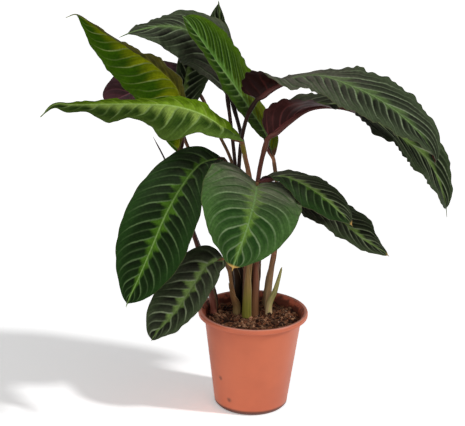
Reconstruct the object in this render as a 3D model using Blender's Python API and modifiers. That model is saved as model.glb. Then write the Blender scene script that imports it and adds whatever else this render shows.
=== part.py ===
"""Potted calathea: a leafy house plant with long striped leaves, in a round nursery pot.

The plant grows as a clump of separate stalks out of the soil. Each stalk carries one blade,
and every blade, stalk, sheath, the soil and the pot is an object of its own.
The origin is the centre of the pot's flat base, +Z is up and the tallest leaves lean to -X.
"""

import math

import bmesh
import bpy
import numpy as np

MM = 0.001
GAP = 0.3 * MM

# The pot: a turned plastic cone with a rolled lip and drain holes in its base.
POT_HEIGHT = 155 * MM
POT_BASE_RADIUS = 56.5 * MM
POT_NECK_RADIUS = 75.2 * MM
POT_NECK_HEIGHT = 143 * MM
POT_LIP_RADIUS = 85 * MM
POT_WALL = 1.8 * MM
POT_FLOOR = 2.5 * MM
BASE_EDGE = 3 * MM
TURN_STEPS = 48
DRAIN_HOLES = 6
DRAIN_RADIUS = 4 * MM
DRAIN_CIRCLE = 36 * MM

# The soil fills the pot to a little under the lip.
SOIL_TOP = 142 * MM
SOIL_EDGE = 2 * MM
SOCKET_DEPTH = 12 * MM
SOCKET_SIDES = 24

# Blades are grids of cells, thickened to a thin sheet.
BLADE_THICKNESS = 1.8 * MM
BLADE_ROWS = 14
BLADE_CELLS = 6
BLADE_END = 1.1 * MM
CUP_CENTRE = 0.4
LOBE_REACH = 6
STATIONS = 5

# Stalks are round tubes, thick at the foot and slender above.
STALK_SEGMENTS = 13
STALK_TAPER_END = 0.55
STALK_TAPER_CURVE = 1.2
FOOT_RISE = 8 * MM
CURVE_SAMPLES = 24

# Every blade, in millimetres and degrees. The midrib runs from the stalk to the tip, and
# face is the side that the upper surface looks to. left and right hold each half's width
# and how far that half is turned up at five even stations from the stalk to the tip. cup
# bends a half across its width, lobe draws the half back beside the stalk, belly is where
# the blade is widest, and blunt and tip round its two ends.
LEAVES = {
    "lower_left": dict(
        midrib=[(-53, 12, 394), (-81, -8, 393), (-108, -45, 372), (-132, -80, 337),
                (-155, -108, 285), (-173, -118, 242), (-187, -118, 208)],
        face=(-0.3, -0.8, 0.55), left=(55, (52, 32, 8, -4, -16)),
        right=(56, (-8, 44, 28, 22, 16)),
        cup=-8, lobe=0, belly=0.56, blunt=0.44, tip=0.68, shade="dark"),
    "bottom_left": dict(
        midrib=[(-47, -45, 254), (-67, -55, 251), (-89, -75, 226), (-113, -90, 191),
                (-151, -100, 143)],
        face=(-0.35, -0.75, 0.6), left=(33, (18, 0, 8, 18, 36)),
        right=(44, (-8, 20, 2, 24, 18)),
        cup=-12, lobe=0, belly=0.56, blunt=0.24, tip=0.56, shade="dark"),
    "front": dict(
        midrib=[(0, -30, 369), (-2, -80, 369), (-8, -125, 356), (-16, -155, 336),
                (-25, -170, 313), (-33, -175, 289)],
        face=(0.2, -0.6, 0.8), left=(70, (10, 2, 18, 2, 0)),
        right=(81, (16, 16, 12, 8, -24)),
        cup=-24, lobe=44, belly=0.44, blunt=0.26, tip=0.68, shade="dark"),
    "right": dict(
        midrib=[(2, -10, 365), (16, -20, 375), (41, -30, 381), (66, -40, 375),
                (96, -50, 359), (121, -55, 338), (141, -60, 318)],
        face=(0.2, 0, 1), left=(50, (50, 8, 6, 12, 18)),
        right=(38, (62, -8, -28, -20, 0)),
        cup=-12, lobe=0, belly=0.64, blunt=0.68, tip=0.74, shade="dark"),
    "low_right": dict(
        midrib=[(36, 30, 320), (62, 30, 319), (95, 25, 315), (130, 20, 298),
                (164, 15, 271), (205, 10, 246)],
        face=(0.3, 0, 1), left=(58, (48, 20, 12, 24, 2)),
        right=(44, (44, -12, -14, -8, -12)),
        cup=-12, lobe=4, belly=0.52, blunt=0.5, tip=0.68, shade="dark"),
    "arch_right": dict(
        midrib=[(-3, 8, 488), (13, 6, 504), (40, 0, 521), (84, -8, 532), (129, -20, 522),
                (172, -30, 505), (213, -40, 478), (244, -45, 446), (261, -45, 414)],
        face=(0.3, -0.2, 1), left=(49, (6, -18, 16, 26, 56)),
        right=(62, (100, 4, -8, -4, 22)),
        cup=-12, lobe=15, belly=0.54, blunt=0.32, tip=0.6, shade="dark"),
    "arch_right_rear": dict(
        midrib=[(16, 0, 433), (40, 14, 453), (78, 35, 472), (124, 50, 470), (174, 55, 451),
                (221, 60, 421), (263, 55, 387), (283, 50, 348), (294, 45, 313)],
        face=(0.3, -0.1, 1), left=(43, (28, 6, 14, 40, 26)),
        right=(89, (112, 24, 4, 0, 12)),
        cup=-2, lobe=0, belly=0.6, blunt=0.36, tip=0.5, shade="dark"),
    "centre": dict(
        midrib=[(25, 58, 383), (10, 54, 427), (-13, 45, 465), (-39, 34, 506),
                (-70, 24, 549), (-94, 20, 583), (-114, 22, 607)],
        face=(-0.1, -1, 0.4), left=(21, (106, 40, 36, 60, 24)),
        right=(56, (-48, -64, -52, -42, -24)),
        cup=-8, lobe=0, belly=0.54, blunt=0.52, tip=0.56, shade="bright"),
    "top": dict(
        midrib=[(-48, 72, 482), (-58, 84, 520), (-82, 82, 557), (-113, 65, 580),
                (-150, 42, 589), (-176, 25, 587), (-197, 12, 582)],
        face=(-0.3, -0.8, 0.6), left=(49, (0, 0, -8, -24, 0)),
        right=(41, (52, 34, -20, -36, -4)),
        cup=-26, lobe=0, belly=0.48, blunt=0.76, tip=0.96, shade="dark"),
    "spike": dict(
        midrib=[(-42, 100, 464), (-44, 108, 500), (-50, 114, 538), (-60, 114, 577),
                (-64, 108, 612)],
        face=(0.1, -1, 0.2), left=(36, (48, 26, 12, 10, 12)),
        right=(12, (48, 20, 10, 12, 16)),
        cup=-10, lobe=0, belly=0.48, blunt=0.6, tip=0.84, shade="dark"),
    "rear_mid": dict(
        midrib=[(-121, 110, 419), (-117, 120, 459), (-110, 128, 505), (-97, 130, 541),
                (-82, 126, 571)],
        face=(0.2, -1, 0.3), left=(22, (48, 28, 32, 16, 14)),
        right=(37, (28, 12, 10, 12, 16)),
        cup=-8, lobe=0, belly=0.6, blunt=0.68, tip=0.8, shade="dark"),
    "upper_left": dict(
        midrib=[(-119, 30, 396), (-116, 50, 443), (-123, 60, 487), (-150, 60, 517),
                (-189, 55, 547), (-228, 45, 574), (-254, 35, 594), (-275, 30, 606)],
        face=(-0.4, -1, 0.1), left=(68, (20, 16, -8, -8, 6)),
        right=(60, (60, 60, 62, 78, 75)),
        cup=-14, lobe=0, belly=0.44, blunt=0.88, tip=0.96, shade="bright"),
    "mid_left": dict(
        midrib=[(-25, -20, 432), (-52, -30, 454), (-82, -45, 477), (-127, -60, 494),
                (-172, -70, 498), (-222, -75, 498), (-270, -75, 496), (-294, -75, 496),
                (-314, -80, 479)],
        face=(-0.1, -0.3, 1), left=(44, (28, -12, -82, -76, -34)),
        right=(25, (8, 24, -6, 2, 8)),
        cup=-32, lobe=0, belly=0.24, blunt=0.86, tip=1, shade="bright"),
    "rear_left": dict(
        midrib=[(-98, 150, 468), (-119, 160, 478), (-156, 178, 469), (-198, 195, 449),
                (-241, 208, 423)],
        face=(0, 0.9, 0.6), left=(45, (20, 14, 4, 6, 0)),
        right=(40, (24, 50, 30, 8, 2)),
        cup=-6, lobe=0, belly=0.56, blunt=0.44, tip=0.4, shade="dark"),
}

# Every stem in millimetres: the place of its foot in the soil, its radius at the foot and
# at the top, and the points that it passes on its way up.
STALKS = {
    "stalk_lower_left": dict(
        foot=(-25, 30.5), radii=(6.2, 3.2), shade="brown",
        route=[(-26, 27, 199), (-42, 12, 280), (-45, 16, 359), (-47, 15, 386), (-51, 13, 393)]),
    "stalk_bottom_left": dict(
        foot=(-25, 16), radii=(5.4, 3), shade="brown",
        route=[(-31, 3, 175), (-35, -12, 203), (-39, -31, 232), (-45, -43, 251)]),
    "stalk_front": dict(
        foot=(-10, 2), radii=(6.2, 3.2), shade="olive",
        route=[(-9, 1, 200), (-2, -3, 275), (1, -12, 335), (1, -26, 365)]),
    "stalk_right": dict(
        foot=(2.5, 7), radii=(5.5, 3), shade="brown",
        route=[(3, 8, 200), (5, 10, 264), (0, 2, 333), (0, -7, 361)]),
    "stalk_low_right": dict(
        foot=(3.5, 20.5), radii=(5.8, 3.2), shade="brown",
        route=[(5, 21, 196), (13, 24, 262), (23, 26, 297), (33, 29, 315)]),
    "stalk_arch_right": dict(
        foot=(-9, 46), radii=(5.8, 3.2), shade="dark",
        route=[(-9, 45, 200), (-12, 41, 236), (-19, 31, 276), (-27, 22, 385), (-23, 16, 432),
               (-14, 11, 468), (-5, 9, 485)]),
    "stalk_arch_right_rear": dict(
        foot=(2, 34.5), radii=(6, 3.6), shade="brown",
        route=[(2, 33, 190), (-3, 24, 277), (2, 12, 362), (7, 3, 399), (14, 1, 429)]),
    "stalk_centre": dict(
        foot=(22, 50), radii=(6, 2.8), shade="brown",
        route=[(24, 52, 176), (34, 60, 265), (32, 59, 340), (26, 58, 380)]),
    "stalk_top": dict(
        foot=(-12, 32), radii=(5.8, 3), shade="dark",
        route=[(-17, 34, 200), (-25, 36, 240), (-33, 46, 374), (-41, 62, 433), (-48, 71, 479)]),
    "stalk_spike": dict(
        foot=(4, 48.5), radii=(5.5, 3), shade="dark",
        route=[(1, 52, 190), (-9, 62, 263), (-15, 75, 366), (-27, 88, 418), (-40, 99, 460)]),
    "stalk_rear_mid": dict(
        foot=(-24, 45), radii=(5, 2.8), shade="brown",
        route=[(-30, 49, 190), (-51, 62, 262), (-81, 80, 338), (-109, 99, 389),
               (-121, 109, 415)]),
    "stalk_upper_left": dict(
        foot=(-61.5, 22), radii=(5.2, 3.4), shade="dark",
        route=[(-65, 19, 175), (-84, 5, 243), (-95, -2, 281), (-110, 8, 344), (-117, 24, 387),
               (-119, 29, 394)]),
    "stalk_mid_left": dict(
        foot=(-10.5, 17), radii=(6.5, 3.2), shade="olive",
        route=[(-11, 15, 200), (-11, 4, 285), (-10, -5, 367), (-20, -12, 411), (-24, -19, 430)]),
    "stalk_rear_left": dict(
        foot=(-14, 59), radii=(5, 2.6), shade="brown",
        route=[(-17, 61, 190), (-28, 66, 286), (-38, 88, 364), (-65, 118, 412), (-86, 142, 451),
               (-96, 149, 465)]),
    "rolled_leaf": dict(
        foot=(-57, 34), radii=(2.8, 0.8), shade="dark",
        route=[(-66, 31, 190), (-93, 27, 268), (-120, 34, 338), (-140, 34, 383),
               (-159, 32, 421)]),
    "young_shoot": dict(
        foot=(25, 23), radii=(4.8, 1.2), shade="light",
        route=[(34, 22, 180), (43, 20, 219)]),
    "old_sheath": dict(
        foot=(-61.5, 11), radii=(4.2, 3), shade="light",
        route=[(-63, 10, 160), (-67, 8, 182)]),
}

COLOURS = {
    "leaf_dark": ((0.025, 0.055, 0.02), 0.45),
    "leaf_bright": ((0.07, 0.15, 0.015), 0.45),
    "stalk_dark": ((0.02, 0.008, 0.008), 0.4),
    "stalk_brown": ((0.075, 0.032, 0.022), 0.4),
    "stalk_olive": ((0.10, 0.11, 0.035), 0.4),
    "stalk_light": ((0.35, 0.28, 0.13), 0.5),
    "soil": ((0.055, 0.03, 0.018), 0.95),
    "pot": ((0.60, 0.165, 0.09), 0.38),
}


def clear_scene():
    """Remove every object that the new file came with."""
    for thing in list(bpy.data.objects):
        bpy.data.objects.remove(thing)


def make_collections():
    """Make the collection of the parts and the hidden one of the cutters."""
    parts = bpy.data.collections.new("potted_calathea")
    cutters = bpy.data.collections.new("cutters")
    for collection in (parts, cutters):
        bpy.context.scene.collection.children.link(collection)
    return parts, cutters


def make_material(name):
    """Make one plain material from the colour table."""
    colour, roughness = COLOURS[name]
    material = bpy.data.materials.new(name)
    material.use_nodes = True
    shader = material.node_tree.nodes["Principled BSDF"]
    shader.inputs["Base Color"].default_value = (*colour, 1)
    shader.inputs["Roughness"].default_value = roughness
    shader.inputs["Metallic"].default_value = 0
    return material


def add_object(name, data, material, collection, parent=None):
    """Add an object with its material to a collection."""
    thing = bpy.data.objects.new(name, data)
    collection.objects.link(thing)
    if material:
        data.materials.append(material)
    thing.parent = parent
    return thing


def unit(vectors):
    """Scale each row to length one."""
    return vectors / np.linalg.norm(vectors, axis=-1, keepdims=True)


def smooth_route(points, samples):
    """Read points at even distances along a smooth curve through the given ones."""
    points = np.array(points, dtype=float)
    legs = np.diff(points, axis=0)
    spans = np.linalg.norm(legs, axis=1)
    headings = legs / spans[:, None]
    before = spans[:-1, None]
    after = spans[1:, None]
    bends = (headings[:-1] * after + headings[1:] * before) / (before + after)
    tangents = np.vstack([headings[:1], bends, headings[-1:]])
    fine = []
    for i, span in enumerate(spans):
        for t in np.arange(CURVE_SAMPLES) / CURVE_SAMPLES:
            start = (2 * t**3 - 3 * t**2 + 1) * points[i]
            start += (t**3 - 2 * t**2 + t) * span * tangents[i]
            end = (3 * t**2 - 2 * t**3) * points[i + 1]
            end += (t**3 - t**2) * span * tangents[i + 1]
            fine.append(start + end)
    fine.append(points[-1])
    fine = np.array(fine)
    distance = np.append(0, np.cumsum(np.linalg.norm(np.diff(fine, axis=0), axis=1)))
    even = np.linspace(0, distance[-1], samples)
    return np.stack([np.interp(even, distance, fine[:, axis]) for axis in range(3)], axis=1)


def eased(values, along):
    """Read a row of station values at a share of the length, easing between them."""
    place = along * (STATIONS - 1)
    station = min(int(place), STATIONS - 2)
    share = place - station
    share = share * share * (3 - 2 * share)
    return values[station] * (1 - share) + values[station + 1] * share


def outline(leaf, along):
    """Half width of a blade at a share of its length, as a share of its largest."""
    skew = math.log(0.5) / math.log(leaf["belly"])
    swell = max(math.sin(math.pi * along**skew), 0)
    power = leaf["blunt"] if along < leaf["belly"] else leaf["tip"]
    return swell**power


def blade_frame(leaf):
    """Points along the midrib, with the heading, face and right-hand side at each."""
    midrib = smooth_route(np.array(leaf["midrib"]) * MM, BLADE_ROWS + 1)
    heading = unit(np.gradient(midrib, axis=0))
    face = np.array(leaf["face"], dtype=float)
    face = unit(face - heading * (heading @ face)[:, None])
    return midrib, heading, face, np.cross(heading, face)


def blade_point(leaf, frame, row, across):
    """Place of one grid point. across runs from -1 at the left edge to 1 at the right."""
    midrib, heading, face, side = (column[row] for column in frame)
    along = row / BLADE_ROWS
    width, turns = leaf["right"] if across > 0 else leaf["left"]
    swell = outline(leaf, along)
    width = max(width * MM * swell, BLADE_END)
    cup = math.radians(leaf["cup"])
    start = math.radians(eased(turns, along)) - cup * CUP_CENTRE
    end = start + cup * abs(across)
    out = width * (math.sin(end) - math.sin(start)) / cup
    up = width * (math.cos(start) - math.cos(end)) / cup
    back = leaf["lobe"] * MM * abs(across) ** 1.5 * math.sqrt(swell) * (1 - along) ** LOBE_REACH
    if across < 0:
        out = -out
    return midrib + side * out + face * up - heading * back


def make_blade(name, leaf, material, collection, parent):
    """Make one blade: a grid laid along the midrib and thickened."""
    frame = blade_frame(leaf)
    grid = bmesh.new()
    bmesh.ops.create_grid(grid, x_segments=BLADE_CELLS, y_segments=BLADE_ROWS, size=1)
    for vertex in grid.verts:
        row = round((vertex.co.y + 1) / 2 * BLADE_ROWS)
        vertex.co = blade_point(leaf, frame, row, vertex.co.x)
    mesh = bpy.data.meshes.new(name)
    grid.to_mesh(mesh)
    grid.free()
    blade = add_object(name, mesh, material, collection, parent)
    thickness = blade.modifiers.new("thickness", "SOLIDIFY")
    thickness.thickness = BLADE_THICKNESS
    thickness.offset = 0
    mesh.shade_smooth()
    return blade


def stalk_route(stalk):
    """The smooth line of a stem, upright where it leaves the soil."""
    x, y = stalk["foot"]
    bottom = (SOIL_TOP - SOCKET_DEPTH) / MM
    top = SOIL_TOP / MM
    foot = [(x, y, bottom), (x, y, top), (x, y, top + FOOT_RISE / MM)]
    return smooth_route(np.array(foot + stalk["route"]) * MM, STALK_SEGMENTS + 1)


def make_stalk(name, stalk, material, collection, parent):
    """Make one stem as a tube that thins out upwards."""
    foot_radius, top_radius = (radius * MM for radius in stalk["radii"])
    route = stalk_route(stalk)
    curve = bpy.data.curves.new(name, "CURVE")
    curve.dimensions = "3D"
    curve.bevel_depth = foot_radius
    curve.bevel_resolution = 2
    curve.use_fill_caps = True
    spline = curve.splines.new("POLY")
    spline.points.add(len(route) - 1)
    for i, place in enumerate(route):
        along = i / STALK_SEGMENTS
        taper = max(1 - along / STALK_TAPER_END, 0) ** STALK_TAPER_CURVE
        radius = top_radius + (foot_radius - top_radius) * taper
        spline.points[i].co = (*place, 1)
        spline.points[i].radius = radius / foot_radius
    return add_object(name, curve, material, collection, parent)


def turned(name, profile, material, collection, parent):
    """Make a turned solid from a profile of (radius, height) points, outer side downwards."""
    mesh = bpy.data.meshes.new(name)
    points = [(radius, 0, height) for radius, height in profile]
    edges = [(i, i + 1) for i in range(len(profile) - 1)]
    mesh.from_pydata(points, edges, [])
    thing = add_object(name, mesh, material, collection, parent)
    screw = thing.modifiers.new("turn", "SCREW")
    screw.axis = "Z"
    screw.steps = TURN_STEPS
    screw.render_steps = TURN_STEPS
    screw.use_merge_vertices = True
    screw.merge_threshold = 0.01 * MM
    screw.use_smooth_shade = True
    return thing


def pot_radius(height):
    """Outer radius of the pot's straight side at a height."""
    share = height / POT_NECK_HEIGHT
    return POT_BASE_RADIUS + (POT_NECK_RADIUS - POT_BASE_RADIUS) * share


def make_pot(material, collection, parent):
    """Make the pot: inner wall up, over the rolled lip and down the outer side."""
    inner_neck = POT_NECK_RADIUS - POT_WALL
    lip = [
        (inner_neck + 1.3 * MM, POT_HEIGHT - 6 * MM),
        (inner_neck + 5.4 * MM, POT_HEIGHT - 1.2 * MM),
        (POT_LIP_RADIUS - 1.8 * MM, POT_HEIGHT),
        (POT_LIP_RADIUS, POT_HEIGHT - 2.2 * MM),
        (POT_LIP_RADIUS, POT_HEIGHT - 6.2 * MM),
        (POT_LIP_RADIUS - 1.5 * MM, POT_HEIGHT - 7.4 * MM),
        (POT_NECK_RADIUS + 2.3 * MM, POT_HEIGHT - 8.6 * MM),
    ]
    inside = [
        (0, POT_FLOOR),
        (pot_radius(POT_FLOOR) - POT_WALL, POT_FLOOR),
        (inner_neck, POT_NECK_HEIGHT),
    ]
    outside = [
        (POT_NECK_RADIUS, POT_NECK_HEIGHT),
        (pot_radius(BASE_EDGE), BASE_EDGE),
        (pot_radius(0) - BASE_EDGE, 0),
        (0, 0),
    ]
    return turned("pot", inside + lip + outside, material, collection, parent)


def make_soil(material, collection, parent):
    """Make the soil: a plug that fills the pot from its floor up."""
    top_radius = pot_radius(SOIL_TOP) - POT_WALL - GAP
    floor = POT_FLOOR + GAP
    profile = [
        (0, SOIL_TOP),
        (top_radius - SOIL_EDGE, SOIL_TOP),
        (pot_radius(SOIL_TOP - SOIL_EDGE) - POT_WALL - GAP, SOIL_TOP - SOIL_EDGE),
        (pot_radius(floor) - POT_WALL - GAP, floor),
        (0, floor),
    ]
    return turned("soil", profile, material, collection, parent)


def cut_round_hole(target, name, centre, radius, low, high, cutters):
    """Cut an upright round hole through a solid with a cylinder."""
    drum = bmesh.new()
    bmesh.ops.create_cone(
        drum, cap_ends=True, segments=SOCKET_SIDES, radius1=radius, radius2=radius,
        depth=high - low)
    mesh = bpy.data.meshes.new(name)
    drum.to_mesh(mesh)
    drum.free()
    cutter = add_object(name, mesh, None, cutters)
    cutter.location = (*centre, (low + high) / 2)
    cutter.hide_render = True
    cutter.display_type = "WIRE"
    hole = target.modifiers.new(name, "BOOLEAN")
    hole.operation = "DIFFERENCE"
    hole.object = cutter


def cut_drain_holes(pot, cutters):
    """Cut the ring of drain holes in the pot's base."""
    for i in range(DRAIN_HOLES):
        angle = 2 * math.pi * (i + 0.5) / DRAIN_HOLES
        centre = (DRAIN_CIRCLE * math.cos(angle), DRAIN_CIRCLE * math.sin(angle))
        cut_round_hole(pot, f"drain_{i}", centre, DRAIN_RADIUS, -POT_FLOOR, 2 * POT_FLOOR, cutters)


def cut_sockets(soil, cutters):
    """Cut the hole in the soil that each stem grows out of."""
    for name, stalk in STALKS.items():
        centre = (stalk["foot"][0] * MM, stalk["foot"][1] * MM)
        radius = stalk["radii"][0] * MM + GAP
        low = SOIL_TOP - SOCKET_DEPTH - GAP
        cut_round_hole(soil, f"socket_{name}", centre, radius, low, POT_HEIGHT, cutters)


def main():
    """Build the whole plant with its pot."""
    clear_scene()
    parts, cutters = make_collections()
    materials = {name: make_material(name) for name in COLOURS}
    plant = bpy.data.objects.new("plant", None)
    parts.objects.link(plant)
    pot = make_pot(materials["pot"], parts, plant)
    cut_drain_holes(pot, cutters)
    soil = make_soil(materials["soil"], parts, plant)
    cut_sockets(soil, cutters)
    for name, stalk in STALKS.items():
        make_stalk(name, stalk, materials["stalk_" + stalk["shade"]], parts, plant)
    for name, leaf in LEAVES.items():
        make_blade("leaf_" + name, leaf, materials["leaf_" + leaf["shade"]], parts, plant)


main()
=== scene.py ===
"""A calathea in its grower's pot, dressed piece by piece around the packed model.

Each piece has its own operator, and main() calls them in order. All sizes are in metres
unless a name or a comment says otherwise.
"""

import math
import random

import bpy
import numpy as np
from bpy.props import FloatProperty, FloatVectorProperty, IntProperty, PointerProperty
from mathutils import Matrix, Vector, noise


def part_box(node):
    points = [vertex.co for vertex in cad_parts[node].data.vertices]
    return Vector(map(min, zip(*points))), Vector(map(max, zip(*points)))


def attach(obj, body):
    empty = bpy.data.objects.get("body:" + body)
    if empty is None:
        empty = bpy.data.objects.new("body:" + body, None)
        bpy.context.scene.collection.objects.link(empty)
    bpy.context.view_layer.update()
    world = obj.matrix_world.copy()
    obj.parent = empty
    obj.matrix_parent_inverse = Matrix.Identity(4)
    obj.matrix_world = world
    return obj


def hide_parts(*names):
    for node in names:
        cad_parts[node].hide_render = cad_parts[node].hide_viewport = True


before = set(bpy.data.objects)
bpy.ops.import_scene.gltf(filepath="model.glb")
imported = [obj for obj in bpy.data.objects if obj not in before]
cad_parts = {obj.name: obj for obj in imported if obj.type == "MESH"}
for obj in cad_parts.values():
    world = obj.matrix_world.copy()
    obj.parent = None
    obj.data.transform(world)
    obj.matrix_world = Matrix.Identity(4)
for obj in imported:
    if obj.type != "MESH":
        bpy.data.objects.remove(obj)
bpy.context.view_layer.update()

bl_info = {
    "name": "Potted calathea",
    "version": (1, 0, 0),
    "blender": (4, 5, 0),
    "location": "3D View > Sidebar > Calathea",
    "description": "Dresses a calathea, its soil and its grower's pot around the packed model",
    "category": "Add Mesh",
}

MM = 0.001
BODY = "root"

POT_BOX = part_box("pot")
SOIL_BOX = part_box("soil")
POT_HEIGHT = POT_BOX[1].z
LIP_RADIUS = POT_BOX[1].x
SOIL_TOP = SOIL_BOX[1].z

# The floor as the eye sees it: its brightness where the lamp reaches it, the direction
# that its shading looks to, away from the soft light, and the soft light left there.
FLOOR_LIGHT = 1.15
FLOOR_FACING = (0.7, 0.52, 0.49)
SOFT_LIGHT = 0.13
# The share of its light that the floor gives back to the plant.
FLOOR_BOUNCE = 0.8
# How fast the soft light fades away from the direction where it is brightest.
WORLD_FALLOFF = 3

# The camera's place in metres, and in degrees how far it looks down and is rolled.
CAMERA_PLACE = (-0.0355, -2.3165, 1.096)
CAMERA_PITCH = 18.7
CAMERA_ROLL = 1.35
SENSOR_WIDTH = 36

# The grid that every blade is made on: its cells crowd towards the midrib.
BLADE_ROWS = 180
HALF_CELLS = 20
RIB_CROWDING = 1.35
BLADE_END = 1.1 * MM
CUP_CENTRE = 0.4
LOBE_REACH = 6
# Crimps along the edge of a whole blade, of which only those near its foot are seen.
CRIMPS = 34
# The share of a blade's rows that the rib below it runs along.
RIB_SHARE = 0.62

# How finely lines, stalks, sheaths, shoots, the pot and the soil are made.
CURVE_SAMPLES = 24
STALK_ROWS = 110
STALK_SIDES = 20
SHEATH_COLUMNS = 25
SHOOT_COLUMNS = 29
STUMP_ROWS = 40
STUMP_COLUMNS = 41
POT_STEPS = 192
SOIL_RINGS = 64
SOIL_SECTORS = 180

# Compass angles of the young leaves' seam and of the old sheath's open side.
SEAM_OPENING = 250
STUMP_OPENING = 20

# The ring of drain holes in the pot's base.
DRAINS = 6
DRAIN_SIDES = 24
# The soil marks on the pot's side: the middle of each and its radius.
POT_MARKS = (
    ((-47.5 * MM, -42 * MM, 57 * MM), 5.4 * MM),
    ((-34 * MM, -49 * MM, 23 * MM), 5.6 * MM),
)
# The colour of the painted highlight along the top of the pot's lip, in linear light.
LIP_HIGHLIGHT = (1.0, 0.84, 0.74)
# The place of the largest pale grain on the soil, and its size.
LARGE_GRAIN = (14 * MM, -38 * MM, 2.2 * MM)
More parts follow.
